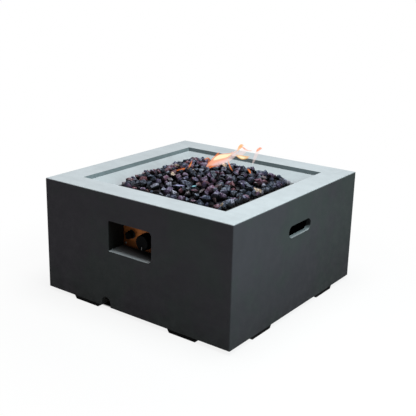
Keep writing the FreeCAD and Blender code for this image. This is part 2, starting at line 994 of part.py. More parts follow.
def wire_grommets():
    middle_y = box_back_y - box_sheet / 2
    rings = []
    for x, z, radius in back_wall_holes():
        rings.append(placed(grommet(radius, box_sheet), V(x, middle_y, z), V(0, 1, 0)))
    return group(rings)


def panel_screw_places():
    xs = (window_left + panel_screw_inset, window_right - panel_screw_inset)
    zs = (window_bottom_z + panel_screw_inset, window_top_z - panel_screw_inset)
    return [(x, z) for x in xs for z in zs]


def control_box():
    frame = box(
        window_left - tunnel_wall,
        window_right + tunnel_wall,
        recess_y,
        recess_y + box_sheet,
        window_bottom_z - tunnel_wall,
        window_top_z + tunnel_wall,
    )
    case = box(box_left, box_right, recess_y, box_back_y, box_bottom_z, box_top_z)
    room = box(
        box_left + box_sheet,
        box_right - box_sheet,
        recess_y + box_sheet,
        box_back_y - box_sheet,
        box_bottom_z + box_sheet,
        box_top_z - box_sheet,
    )
    front = box(
        box_left + box_flange,
        box_right - box_flange,
        recess_y - past,
        recess_y + box_sheet + past,
        box_bottom_z + box_flange,
        box_top_z - box_flange,
    )
    case = frame.fuse(case).cut(room).cut(front)
    holes = []
    for x, z, radius in back_wall_holes():
        front_y = box_back_y - box_sheet - past
        holes.append(cylinder_y(grommet_neck(radius), x, z, front_y, box_back_y + past))
    pipe_hole = tube_nut_flats / math.sqrt(3) + pipe_hole_gap
    floor_top = box_bottom_z + box_sheet + past
    holes.append(cylinder_z(pipe_hole, knob_x, inlet_boss_y, box_bottom_z - past, floor_top))
    for x, z in box_screw_places() + panel_screw_places():
        holes.append(cylinder_y(small_shank + running, x, z, recess_y - past, recess_y + box_sheet + past))
    return case.cut(group(holes))


def box_screws():
    seat_y = recess_y + box_sheet
    return group([
        placed(small_screw(thread_length), V(x, seat_y, z), V(0, 1, 0)) for x, z in box_screw_places()
    ])


def control_panel():
    plate = rounded_block_y(
        window_left + panel_gap,
        window_right - panel_gap,
        window_bottom_z + panel_gap,
        window_top_z - panel_gap,
        window_left_corner - panel_gap,
        window_right_corner - panel_gap,
        panel_front_y,
        recess_y,
    )
    front_y = panel_front_y - past
    back_y = recess_y + past
    neck_hole = cylinder_y(valve_neck_radius + hole_gap, knob_x, controls_z, front_y, back_y)
    igniter_hole = cylinder_y(igniter_neck_radius + hole_gap, igniter_x, igniter_z, front_y, back_y)
    holes = [neck_hole, igniter_hole]
    for x, z in panel_screw_places():
        holes.append(cylinder_y(small_shank + hole_gap, x, z, front_y, back_y))
    return plate.cut(group(holes))


def panel_screws():
    length = panel_sheet + box_sheet + panel_thread_length
    return group([
        placed(small_screw(length), V(x, panel_front_y, z), V(0, -1, 0)) for x, z in panel_screw_places()
    ])


def gas_valve():
    body = cylinder_y(valve_radius, knob_x, controls_z, recess_y, valve_back_y)
    neck_front = recess_y - valve_neck_length
    neck = cylinder_y(valve_neck_radius, knob_x, controls_z, neck_front, recess_y)
    outlet = cylinder_y(valve_outlet_radius, knob_x, controls_z, valve_back_y, valve_outlet_y)
    inlet_top = controls_z - valve_radius + inlet_boss_sunk
    inlet = cylinder_z(valve_inlet_radius, knob_x, inlet_boss_y, inlet_boss_z, inlet_top)
    probe_port_x = knob_x - probe_port_side
    port = cylinder_y(
        probe_lead_radius + probe_port_wall,
        probe_port_x,
        controls_z + probe_port_up,
        valve_back_y - probe_port_length,
        valve_back_y,
    )
    solid = fuse_all([body, neck, outlet, inlet, port])
    stem_bore = cylinder_y(stem_radius + running, knob_x, controls_z, neck_front, cavity_front_y)
    cavity = cylinder_y(valve_cavity_radius, knob_x, controls_z, cavity_front_y, cavity_back_y)
    outlet_bore_y = cavity_back_y + outlet_bore_start
    outlet_bore = cylinder_y(gas_tube_bore, knob_x, controls_z, outlet_bore_y, valve_outlet_y)
    inlet_bore = cylinder_z(supply_bore, knob_x, inlet_boss_y, inlet_boss_z, controls_z - valve_radius)
    return solid.cut(fuse_all([stem_bore, cavity])).cut(outlet_bore).cut(inlet_bore)


def valve_nut():
    nut = hex_nut(valve_nut_flats, valve_nut_height, valve_neck_radius + running)
    return placed(nut, V(knob_x, panel_front_y, controls_z), V(0, -1, 0))


def stem_collar():
    radius = valve_cavity_radius - loose
    return cylinder_y(radius, knob_x, controls_z, cavity_front_y, cavity_front_y + collar_thickness)


def valve_spring():
    y0 = cavity_front_y + collar_thickness
    return coil(
        valve_spring_radius, valve_spring_wire, spring_turns, knob_x, controls_z, y0, cavity_back_y
    )


def valve_stem():
    """A round stem with a flat in its front end, where the knob grips it."""
    stem = cylinder_y(stem_radius, knob_x, controls_z, stem_front_y, cavity_front_y)
    return stem.cut(stem_flat(stem_front_y, knob_back_y))


def stem_flat(y0, y1):
    low = controls_z + stem_radius * 0.5
    return box(knob_x - knob_boss_radius, knob_x + knob_boss_radius, y0, y1, low, low + stem_radius)


def control_knob():
    """A fluted cup on a D-shaped boss; its nut room clears the panel nut when it is pushed."""
    front = V(knob_x, knob_front_y, controls_z)
    skirt = Part.makeCone(knob_front_radius, knob_radius, knob_length, front, V(0, 1, 0))
    front_edge = [edge for edge in skirt.Edges if edge.BoundBox.YMax < knob_front_y + 1e-6]
    skirt = skirt.makeFillet(knob_edge, front_edge)
    flutes = []
    for step in range(knob_flute_count):
        angle = 2 * math.pi * step / knob_flute_count
        reach = knob_radius + knob_flute_radius * 0.6
        x = knob_x + reach * math.sin(angle)
        z = controls_z - reach * math.cos(angle)
        back_y = knob_back_y - knob_plain_band
        flutes.append(cylinder_y(knob_flute_radius, x, z, knob_front_y - past, back_y))
    knob = skirt.cut(group(flutes[1:]))
    room = cylinder_y(
        knob_front_radius - knob_wall, knob_x, controls_z, knob_front_y + knob_wall, knob_back_y
    )
    boss_back_y = knob_back_y - knob_travel
    boss = cylinder_y(knob_boss_radius, knob_x, controls_z, knob_front_y + knob_wall, boss_back_y)
    bore = cylinder_y(stem_radius + running, knob_x, controls_z, stem_front_y, knob_back_y)
    bore = bore.cut(stem_flat(stem_front_y, knob_back_y).translate(V(0, 0, running)))
    knob = knob.cut(room).fuse(boss).cut(bore)
    return knob.cut(pointer_block(0.0))


def pointer_block(proud):
    """The inlaid pointer line, from the middle of the front face to its lower edge."""
    outer = knob_front_radius - knob_edge
    return box(
        knob_x - pointer_width / 2,
        knob_x + pointer_width / 2,
        knob_front_y - proud,
        knob_front_y + pointer_sunk,
        controls_z - outer,
        controls_z - outer + pointer_length,
    )


def knob_pointer():
    return pointer_block(pointer_proud)


def igniter_body():
    barrel = cylinder_y(igniter_body_radius, igniter_x, igniter_z, recess_y, igniter_back_y)
    neck = cylinder_y(igniter_neck_radius, igniter_x, igniter_z, neck_front_y, recess_y)
    room_front = recess_y + igniter_body_wall
    room = cylinder_y(
        battery_radius + loose, igniter_x, igniter_z, room_front, igniter_back_y - igniter_body_wall
    )
    spring_room = cylinder_y(
        igniter_neck_radius - igniter_neck_wall, igniter_x, igniter_z, neck_front_y, panel_front_y
    )
    return barrel.fuse(neck).cut(room).cut(spring_room)


def igniter_battery():
    start = recess_y + igniter_body_wall
    shoulder = start + battery_nub_height
    can = cylinder_y(battery_radius, igniter_x, igniter_z, shoulder, start + battery_length)
    nub = cylinder_y(battery_nub_radius, igniter_x, igniter_z, start, shoulder)
    return can.fuse(nub)


def igniter_terminal():
    half = terminal_width / 2
    tab = box(
        igniter_x - half,
        igniter_x + half,
        igniter_back_y,
        igniter_back_y + terminal_length,
        igniter_z - terminal_sheet / 2,
        igniter_z + terminal_sheet / 2,
    )
    middle_y = igniter_back_y + terminal_length / 2
    low = igniter_z - terminal_sheet
    high = igniter_z + terminal_sheet
    return tab.cut(cylinder_z(terminal_hole_radius, igniter_x, middle_y, low, high))


def igniter_bezel():
    front_y = panel_front_y - bezel_height
    ring = cylinder_y(bezel_radius, igniter_x, igniter_z, front_y, panel_front_y)
    front = [edge for edge in ring.Edges if edge.BoundBox.YMax < front_y + 1e-6]
    ring = ring.makeFillet(bezel_edge, front)
    bore = igniter_neck_radius + running
    return ring.cut(cylinder_y(bore, igniter_x, igniter_z, front_y, panel_front_y))


def igniter_button():
    back_y = button_front_y + button_length
    cap = cylinder_y(button_radius, igniter_x, igniter_z, button_front_y, back_y)
    front = [edge for edge in cap.Edges if edge.BoundBox.YMax < button_front_y + 1e-6]
    cap = cap.makeFillet(button_edge, front)
    room = button_radius - button_wall
    return cap.cut(cylinder_y(room, igniter_x, igniter_z, button_inner_y, back_y))


def igniter_spring():
    return coil(
        igniter_spring_radius,
        igniter_spring_wire,
        spring_turns,
        igniter_x,
        igniter_z,
        button_inner_y,
        panel_front_y,
    )


def inlet_bracket():
    """A steel plate across the notch, with a wing on the base lip at each side."""
    reach = notch_width / 2 + bracket_notch_gap + bracket_wing
    top = lip_top_z + bracket_height
    back_y = bracket_y + bracket_sheet
    plate = box(notch_x - reach, notch_x + reach, bracket_y, back_y, body_bottom, top)
    hole_radius = inlet_thread_radius + hole_gap
    hole = cylinder_y(hole_radius, notch_x, inlet_height, bracket_y - past, back_y + past)
    plate = plate.cut(hole)
    wings = []
    for x, y in bracket_screw_places():
        half = bracket_wing / 2
        wing_top = lip_top_z + bracket_sheet
        wing = box(x - half, x + half, y - box_flange, back_y, lip_top_z, wing_top)
        wing_hole = cylinder_z(small_shank + hole_gap, x, y, lip_top_z - past, wing_top + past)
        wings.append(wing.cut(wing_hole))
    return fuse_all([plate] + wings).removeSplitter()


def bracket_screws():
    seat_z = lip_top_z + bracket_sheet
    wing_screw = small_screw(thread_length)
    return group([placed(wing_screw, V(x, y, seat_z), V(0, 0, 1)) for x, y in bracket_screw_places()])


def gas_inlet():
    """A bulkhead fitting: a flare stub towards the notch, a hexagon and a rear arm."""
    plate_back = bracket_y + bracket_sheet
    thread = cylinder_y(inlet_thread_radius, notch_x, inlet_height, inlet_nut_front_y(), plate_back)
    front_y = inlet_nut_front_y() - inlet_length
    stub = cylinder_y(inlet_radius, notch_x, inlet_height, front_y, inlet_nut_front_y())
    flange = hexagon(inlet_nut_flats, inlet_nut_height)
    collar = placed(flange, V(notch_x, plate_back, inlet_height), V(0, 1, 0))
    rear = cylinder_y(inlet_rear_radius, notch_x, inlet_height, plate_back, inlet_back_y())
    bore = cylinder_y(supply_bore, notch_x, inlet_height, front_y, inlet_back_y())
    return fuse_all([stub, thread, collar, rear]).cut(bore)


def inlet_nut():
    nut = hex_nut(inlet_nut_flats, inlet_nut_height, inlet_thread_radius + running)
    return placed(nut, V(notch_x, bracket_y, inlet_height), V(0, -1, 0))


def inlet_nut_front_y():
    return bracket_y - inlet_nut_height


def step_width():
    return opening_half / (mound_steps + 1)


def step_height(step):
    """The rise of the lower rocks: a dome of square steps, counted inwards from the edge."""
    share = 1 - step / mound_steps
    return mound_rise * (1 - share**mound_fullness)


def mound():
    """The stepped dome that the lower rocks rise to above the pan."""
    steps = []
    for step in range(1, mound_steps + 1):
        reach = opening_half - step * step_width()
        steps.append(square_block(reach, pan_top_z - past, pan_top_z + step_height(step)))
    return fuse_all(steps)


def lava_rock_bed():
    """The lower rocks as one mounded solid that fills the pan round the burner."""
    base = square_block(pan_inner_half - seat_gap, pan_floor_z, pan_top_z)
    bed = fuse_all([base, mound()])
    return bed.cut(burner_room()).cut(station_room()).removeSplitter()


def burner_room():
    """The channel that the ring, spokes and hub lie in, open at the pan floor."""
    gap = ring_tube_radius + seat_gap
    top = ring_z + gap
    outer = cylinder_z(ring_radius + gap, 0, 0, pan_floor_z - past, top)
    channel = outer.cut(cylinder_z(ring_radius - gap, 0, 0, pan_floor_z - past, top))
    spoke_gap = spoke_radius + seat_gap
    spokes = box(-ring_radius, ring_radius, -spoke_gap, spoke_gap, pan_floor_z - past, top)
    hub = cylinder_z(hub_flange_radius + seat_gap, 0, 0, pan_floor_z - past, top)
    return fuse_all([channel, spokes, hub])


def station_room():
    half = guard_width / 2 + seat_gap
    deep = guard_depth / 2 + seat_gap
    top = pan_floor_z + guard_height + seat_gap
    low = pan_floor_z - past
    return box(station_x - half, station_x + half, station_y - deep, station_y + deep, low, top)


def ring_of_corners(centre, reach, twist, least, most, lift):
    """Uneven corners round a rock, the highest of them raised by up to the lift."""
    corners = []
    for side in range(rock_sides):
        angle = twist + 2 * math.pi * side / rock_sides
        radius = reach * random.uniform(least, most)
        step = V(radius * math.cos(angle), radius * math.sin(angle), random.uniform(0, lift))
        corners.append(centre + step)
    return corners


def facet(a, b, c):
    return Part.Face(Part.makePolygon([a, b, c, a]))


def seat_under(foot):
    """The level of the highest step of the bed that a corner of the foot reaches."""
    inmost = min(max(abs(corner.x), abs(corner.y)) for corner in foot)
    step = min(mound_steps, int((opening_half - inmost) / step_width()))
    return pan_top_z + step_height(step)


def rock(foot_centre, reach, height):
    """One broken rock: an uneven foot, a wider waist and an off-centre crown, all flat facets."""
    twist = random.uniform(0, 2 * math.pi)
    foot = ring_of_corners(foot_centre, reach, twist, 0.7, 0.85, 0.0)
    waist_centre = foot_centre + V(0, 0, height * 0.3)
    waist = ring_of_corners(waist_centre, reach, twist, 0.86, 1.0, height * 0.25)
    lean = reach * 0.2
    shift = V(random.uniform(-lean, lean), random.uniform(-lean, lean), height * 0.8)
    crown = ring_of_corners(foot_centre + shift, reach, twist, 0.35, 0.65, height * 0.2)
    faces = [Part.Face(Part.makePolygon(foot + foot[:1]))]
    for lower, upper in ((foot, waist), (waist, crown)):
        for side in range(rock_sides):
            after = (side + 1) % rock_sides
            faces.append(facet(lower[side], lower[after], upper[after]))
            faces.append(facet(lower[side], upper[after], upper[side]))
    for side in range(1, rock_sides - 1):
        faces.append(facet(crown[0], crown[side], crown[side + 1]))
    solid = Part.Solid(Part.Shell(faces))
    solid.translate(V(0, 0, seat_under(foot)))
    return solid


def rock_places():
    """Rows set half a pitch apart from their neighbours, as round things pack, over the pan."""
    row_pitch = rock_pitch * math.sqrt(3) / 2
    rows = int((2 * hole_half - rock_pitch) / row_pitch) + 1
    places = []
    for row in range(rows):
        y = (row - (rows - 1) / 2) * row_pitch
        count = int(2 * hole_half / rock_pitch) - row % 2
        for column in range(count):
            places.append(V((column - (count - 1) / 2) * rock_pitch, y, 0))
    return places


def lava_rocks():
    """The top layer of rocks, each on the highest step of the bed under its foot and fitted to it."""
    random.seed(random_seed)
    dome = mound()
    rocks = []
    widest = (rock_pitch - rock_gap) / 2
    for place in rock_places():
        reach = widest * random.uniform(0.86, 1.0)
        slack = (widest - reach) / math.sqrt(2)
        nudge = V(random.uniform(-slack, slack), random.uniform(-slack, slack), 0)
        height = rock_height + random.uniform(-rock_height_spread, rock_height_spread)
        rocks.extend(rock(place + nudge, reach, height).cut(dome).Solids)
    return group(rocks)


def main():
    os.makedirs("parts", exist_ok=True)
    makers = [
        concrete_body,
        foot_pads,
        foot_screws,
        burner_pan,
        pan_inserts,
        pan_screws,
        ring_burner,
        burner_locknut,
        air_mixer,
        gas_jet,
        gas_tube,
        supply_pipe,
        tube_nuts,
        heat_shield,
        shield_studs,
        shield_spacers,
        shield_nuts,
        probe_plate,
        electrode_insulator,
        electrode_pin,
        thermocouple_tip,
        igniter_guard,
        ignition_lead,
        thermocouple_lead,
        control_box,
        wire_grommets,
        box_screws,
        control_panel,
        panel_screws,
        gas_valve,
        valve_nut,
        stem_collar,
        valve_spring,
        valve_stem,
        control_knob,
        knob_pointer,
        igniter_body,
        igniter_battery,
        igniter_terminal,
        igniter_bezel,
        igniter_button,
        igniter_spring,
        inlet_bracket,
        bracket_screws,
        gas_inlet,
        inlet_nut,
        lava_rock_bed,
        lava_rocks,
    ]
    for maker in makers:
        shape = maker()
        if not shape.isValid() or not shape.Solids:
            raise ValueError(maker.__name__ + " is not a valid solid")
        shape.exportStep("parts/" + maker.__name__ + ".step")


main()
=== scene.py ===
"""The looks of the square gas fire pit, laid out as a Blender add-on and run as a script."""

import json
import math
import random

import bmesh
import bpy
from bpy.props import FloatProperty, FloatVectorProperty, IntProperty, PointerProperty
from mathutils import Matrix, Vector, noise


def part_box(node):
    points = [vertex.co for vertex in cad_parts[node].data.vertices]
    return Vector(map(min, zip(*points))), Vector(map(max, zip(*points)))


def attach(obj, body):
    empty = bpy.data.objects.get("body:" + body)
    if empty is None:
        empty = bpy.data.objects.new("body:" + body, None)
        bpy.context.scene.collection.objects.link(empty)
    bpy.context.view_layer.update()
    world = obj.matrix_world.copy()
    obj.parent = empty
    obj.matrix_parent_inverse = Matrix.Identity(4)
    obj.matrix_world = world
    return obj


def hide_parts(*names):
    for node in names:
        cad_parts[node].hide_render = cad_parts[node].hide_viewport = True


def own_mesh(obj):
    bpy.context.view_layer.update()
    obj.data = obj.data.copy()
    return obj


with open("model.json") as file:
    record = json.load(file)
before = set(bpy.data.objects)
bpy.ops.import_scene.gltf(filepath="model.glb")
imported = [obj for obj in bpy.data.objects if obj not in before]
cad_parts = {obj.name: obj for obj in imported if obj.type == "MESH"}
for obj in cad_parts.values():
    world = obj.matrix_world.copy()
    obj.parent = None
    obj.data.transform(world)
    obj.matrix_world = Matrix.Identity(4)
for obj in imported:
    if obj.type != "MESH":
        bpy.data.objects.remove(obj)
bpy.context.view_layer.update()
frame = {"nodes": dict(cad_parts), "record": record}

bl_info = {
    "name": "Gas Fire Pit Dressing",
    "version": (1, 0, 0),
    "blender": (4, 5, 0),
    "location": "View3D > Sidebar > Fire Pit",
    "description": "Finishes the square gas fire pit and sets its studio",
    "category": "Object",
}

MM = 0.001

# Places read from the frame
body_low, body_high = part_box("concrete_body")
pan_low, pan_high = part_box("burner_pan")
rocks_low, rocks_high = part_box("lava_rocks")
knob_low, knob_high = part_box("control_knob")
pointer_low, pointer_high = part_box("knob_pointer")
button_low, button_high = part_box("igniter_button")
bezel_low, bezel_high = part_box("igniter_bezel")
panel_low, panel_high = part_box("control_panel")
inlet_low, inlet_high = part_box("gas_inlet")
inlet_nut_low, inlet_nut_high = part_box("inlet_nut")

# Sizes of the rim and of the body's openings
rim_width = 80 * MM
rim_depth = 50 * MM
well_half = body_high.x - rim_width
slot_half = 62 * MM
slot_wall = 34 * MM
window_half_width = 85 * MM
window_half_height = 50 * MM
window_depth = 90 * MM


def middle(low, high):
    return (low + high) / 2


# Shader wiring


class Wiring:
    """Adds nodes to one material or group and links them."""

    def __init__(self, tree):
        self.tree = tree

    def add(self, kind, inputs=None, **settings):
        node = self.tree.nodes.new("ShaderNode" + kind)
        for key, value in settings.items():
            setattr(node, key, value)
        for key, value in (inputs or {}).items():
            self.put(value, node.inputs[key])
        return node

    def put(self, value, socket):
        if isinstance(value, bpy.types.NodeSocket):
            self.tree.links.new(value, socket)
        else:
            socket.default_value = value

    def calc(self, operation, first, second=0.0):
        node = self.add("Math", operation=operation)
        self.put(first, node.inputs[0])
        self.put(second, node.inputs[1])
        return node.outputs[0]

    def times(self, first, *others):
        for other in others:
            first = self.calc("MULTIPLY", first, other)
        return first

    def spread(self, value, low, high, to_low, to_high, smooth=False):
        """The value mapped from one range to another, and held inside it."""
        node = self.add("MapRange", interpolation_type="SMOOTHSTEP" if smooth else "LINEAR")
        for key, number in zip(("Value", "From Min", "From Max", "To Min", "To Max"),
                               (value, low, high, to_low, to_high)):
            self.put(number, node.inputs[key])
        return node.outputs[0]

    def within(self, value, limit, fade):
        """1 up to the limit, and 0 from where the fade ends."""
        return self.spread(value, limit, limit + fade, 1.0, 0.0)

    def mix(self, share, first, second):
        node = self.add("Mix", data_type="RGBA", blend_type="MIX")
        self.put(share, node.inputs[0])
        self.put(first, node.inputs[6])
        self.put(second, node.inputs[7])
        return node.outputs[2]

    def ramp(self, value, stops):
        node = self.add("ValToRGB", {"Fac": value})
        elements = node.color_ramp.elements
        while len(elements) < len(stops):
            elements.new(0.5)
        for element, (place, colour) in zip(elements, stops):
            element.position = place
            element.color = (*colour, 1.0)
        return node.outputs[0]

    def scaled(self, colour, factor):
        """The colour made lighter or darker by the factor."""
        node = self.add("VectorMath", operation="SCALE")
        self.put(colour, node.inputs[0])
        self.put(factor, node.inputs["Scale"])
        return node.outputs[0]

    def place(self):
        return self.add("TexCoord").outputs["Object"]

    def coordinates(self):
        """The place's three coordinates, each by its own letter."""
        return self.add("SeparateXYZ", {"Vector": self.place()}).outputs

    def farthest(self, at):
        """How far out the place is along the farther one of the two level axes."""
        return self.calc("MAXIMUM", self.calc("ABSOLUTE", at["X"]), self.calc("ABSOLUTE", at["Y"]))

    def facing_up(self):
        """The height of the surface's own normal: 1 on a level top, 0 on a wall."""
        normal = self.add("TexCoord").outputs["Normal"]
        return self.add("SeparateXYZ", {"Vector": normal}).outputs["Z"]

    def group(self, name, **values):
        """The outputs of one of the shared groups, with these values."""
        node = self.add("Group", node_tree=groups[name])
        for key, value in values.items():
            self.put(value, node.inputs[key.title()])
        return node.outputs

    def bump(self, height, distance, strength):
        node = self.add("Bump", {"Height": height, "Distance": distance, "Strength": strength})
        return node.outputs["Normal"]


def linear(*colour):
    """A colour given as display values above 10 and up to 255, as the linear values that shaders take."""
    return tuple(((shown / 255 + 0.055) / 1.055) ** 2.4 for shown in colour)


def shader_group(name, inputs, outputs):
    """A new node group with its sockets, its wiring and its two end nodes."""
    tree = bpy.data.node_groups.new(name, "ShaderNodeTree")
    for label, value in inputs.items():
        socket = tree.interface.new_socket(name=label, in_out="INPUT", socket_type="NodeSocketFloat")
        socket.default_value = value
    for label in outputs:
        tree.interface.new_socket(name=label, in_out="OUTPUT", socket_type="NodeSocketFloat")
    start = tree.nodes.new("NodeGroupInput")
    end = tree.nodes.new("NodeGroupOutput")
    return tree, Wiring(tree), start.outputs, end.inputs


def grain_group():
    """Fine uneven shade and height, as on anything cast, moulded or rolled."""
    tree, wires, given, out = shader_group(
        "surface_grain", {"Scale": 400.0, "Contrast": 0.2, "Stretch": 1.0}, ("Shade", "Height")
    )
    stretched = wires.add("CombineXYZ", {"X": given["Stretch"], "Y": 1.0, "Z": 1.0}).outputs[0]
    at = wires.add("VectorMath", operation="MULTIPLY")
    wires.put(wires.place(), at.inputs[0])
    wires.put(stretched, at.inputs[1])
    settings = {"Vector": at.outputs[0], "Scale": given["Scale"], "Detail": 5.0, "Roughness": 0.65}
    speck = wires.add("TexNoise", settings)
    centred = wires.calc("SUBTRACT", speck.outputs["Fac"], 0.5)
    swing = wires.times(centred, given["Contrast"])
    wires.put(wires.calc("ADD", swing, 1.0), out["Shade"])
    wires.put(speck.outputs["Fac"], out["Height"])
    return tree


def pores_group():
    """Round pits of uneven size: the mask is 1 in a pit, and the height is lower there."""
    tree, wires, given, out = shader_group("pores", {"Scale": 120.0, "Share": 0.4}, ("Mask", "Height"))
    warp = wires.add("TexNoise", {"Vector": wires.place(), "Scale": given["Scale"], "Detail": 2.0})
    cells = wires.add("TexVoronoi", {"Vector": wires.place(), "Scale": given["Scale"], "Randomness": 1.0})
    size = wires.times(warp.outputs["Fac"], given["Share"])
    inner = wires.times(size, 0.4)
    mask = wires.spread(cells.outputs["Distance"], inner, size, 1.0, 0.0, smooth=True)
    wires.put(mask, out["Mask"])
    wires.put(wires.calc("SUBTRACT", 1.0, mask), out["Height"])
    return tree


def soiling_group():
    """A patchy mask that is strongest at the low edge of a piece and fades upwards."""
    tree, wires, given, out = shader_group("soiling", {"Low": 0.0, "High": 0.06, "Scale": 25.0}, ("Mask",))
    height = wires.coordinates()["Z"]
    fade = wires.spread(height, given["Low"], given["High"], 1.0, 0.0, smooth=True)
    patches = wires.add("TexNoise", {"Vector": wires.place(), "Scale": given["Scale"], "Detail": 4.0})
    patch = wires.spread(patches.outputs["Fac"], 0.35, 0.65, 0.0, 1.0)
    wires.put(wires.times(fade, patch), out["Mask"])
    return tree


groups = {}


def build_groups():
    groups["grain"] = grain_group()
    groups["pores"] = pores_group()
    groups["soiling"] = soiling_group()


def new_material(name, roughness, metallic=0.0, gloss=0.5):
    material = bpy.data.materials.new(name)
    material.use_nodes = True
    wires = Wiring(material.node_tree)
    material.node_tree.nodes.clear()
    end = wires.add("OutputMaterial")
    shader = wires.add(
        "BsdfPrincipled", {"Roughness": roughness, "Metallic": metallic, "Specular IOR Level": gloss}
    )
    wires.put(shader.outputs[0], end.inputs["Surface"])
    return material, wires, shader.inputs


def window_shade_mask(wires, at, facing_up):
    """The share of painted shade in the control window: 0 at the face of the control side and 1 inside the
    window. Painted light reaches in only on the sill's left.
    """
    centre = middle(panel_low, panel_high)
    depth = wires.calc("SUBTRACT", at["Y"], body_low.y)
    reach = wires.spread(at["X"], panel_low.x, panel_high.x, 78 * MM, 32 * MM)
    along_sill = wires.spread(wires.calc("DIVIDE", depth, reach), 0.08, 1.0, 0.0, 1.0, smooth=True)
    upright = wires.spread(facing_up, 0.3, 0.7, 1.0, 0.0)
    on_sides = wires.times(upright, wires.spread(depth, 0.5 * MM, 3 * MM, 0.0, 1.0))
    inward = wires.calc("MAXIMUM", along_sill, on_sides)
    beside = wires.calc("ABSOLUTE", wires.calc("SUBTRACT", at["X"], centre.x))
    above = wires.calc("ABSOLUTE", wires.calc("SUBTRACT", at["Z"], centre.z))
    across = wires.within(beside, window_half_width, 5 * MM)
    level = wires.within(above, window_half_height, 5 * MM)
    this_side = wires.within(depth, window_depth, 5 * MM)
    return wires.times(inward, this_side, across, level)


def slot_shade_mask(wires, at, facing_up):
    """The share of painted shade in the hand slots: 0 on the faces of their sides, and 1 in their ends and
    behind them; their sills stay pale.
    """
    beside = wires.calc("ABSOLUTE", at["X"])
    flat = wires.spread(facing_up, 0.3, 0.7, 0.0, 14 * MM)
    depth = wires.calc("SUBTRACT", wires.calc("SUBTRACT", body_high.x - 1 * MM, beside), flat)
    inside = wires.spread(depth, 0.0, 2 * MM, 0.0, 1.0)
    along = wires.within(wires.calc("ABSOLUTE", at["Y"]), slot_half + 4 * MM, 4 * MM)
    inner = body_high.x - slot_wall
    near_side = wires.spread(beside, inner - 4 * MM, inner, 0.0, 1.0)
    under_rim = wires.within(at["Z"], body_high.z - rim_depth - 10 * MM, 10 * MM)
    return wires.times(inside, along, near_side, under_rim)


def concrete_finish(look):
    """Cast concrete of one pale grey, with trowel marks, and with light and shade painted in: pale where it
    faces up, painted shade of mid grey round the well and of charcoal on the walls.
    """
    material, wires, surface = new_material("cast_concrete", 0.8, gloss=0.18)
    at = wires.coordinates()
    in_well = wires.within(wires.farthest(at), well_half + 1 * MM, 1.5 * MM)
    hue = wires.group("grain", scale=5.0, contrast=1.0)
    hue_share = wires.spread(hue["Height"], 0.4, 0.6, 0.0, 1.0, smooth=True)
    # Painted shade: the walls' charcoal stands for shade on the pale concrete; its two hues differ at random.
    wall = wires.mix(hue_share, (*look.wall_shade_colour, 1.0), (*look.wall_second_shade_colour, 1.0))
    # Painted shade: the well's back wall, which faces the front, is darker still.
    shaded_side = wires.spread(at["Y"], well_half - 3 * MM, well_half - 1 * MM, 1.0, 0.62)
    # Painted shade: the outer walls darken towards the foot.
    foot, waist = body_low.z + 20 * MM, body_low.z + 230 * MM
    foot_shade = wires.spread(at["Z"], foot, waist, 0.76, 1.0, smooth=True)
    wall = wires.mix(in_well, wires.scaled(wall, foot_shade), wires.scaled(look.well_shade_colour, shaded_side))
    # Painted light: faces that look up take the rim colour, and the rest keep their painted shade.
    facing_up = wires.facing_up()
    up = wires.calc("POWER", wires.spread(facing_up, 0.0, 1.0, 0.0, 1.0), 3.0)
    colour = wires.mix(up, wall, (*look.rim_colour, 1.0))
    # Painted shade: the inside of the control window and of the hand slots is darkened to near black.
    shade_in_window = wires.times(window_shade_mask(wires, at, facing_up), look.recess_shade)
    colour = wires.mix(shade_in_window, colour, (0.005, 0.005, 0.004, 1.0))
    shade_in_slot = wires.times(slot_shade_mask(wires, at, facing_up), look.recess_shade)
    colour = wires.mix(shade_in_slot, colour, (0.005, 0.005, 0.005, 1.0))
    clouds = wires.group("grain", scale=9.0, contrast=0.26)
    mottle = wires.group("grain", scale=48.0, contrast=0.18)
    trowel = wires.group("grain", scale=26.0, contrast=0.16, stretch=0.12)
    sand = wires.group("grain", scale=900.0, contrast=0.3)
    shade = wires.times(clouds["Shade"], mottle["Shade"], sand["Shade"], trowel["Shade"])
    shaded = wires.scaled(colour, shade)
    pores = wires.group("pores", scale=look.pore_scale, share=0.24)
    # Painted shade: the pores are darkened inside.
    pore_depth = wires.times(pores["Mask"], 0.3)
    pores_shaded = wires.mix(pore_depth, shaded, (0.012, 0.013, 0.014, 1.0))
    soil = wires.group("soiling", low=body_low.z, high=body_low.z + 60 * MM, scale=30.0)
    soiled = wires.mix(wires.times(soil["Mask"], 0.4), pores_shaded, (0.022, 0.021, 0.021, 1.0))
    wires.put(soiled, surface["Base Color"])
    wires.put(wires.spread(mottle["Height"], 0.3, 0.7, 0.68, 0.9), surface["Roughness"])
    fine = wires.times(sand["Height"], 0.25)
    height = wires.calc("ADD", fine, pores["Height"])
    wires.put(wires.bump(height, 0.5 * MM, 0.6), surface["Normal"])
    return material


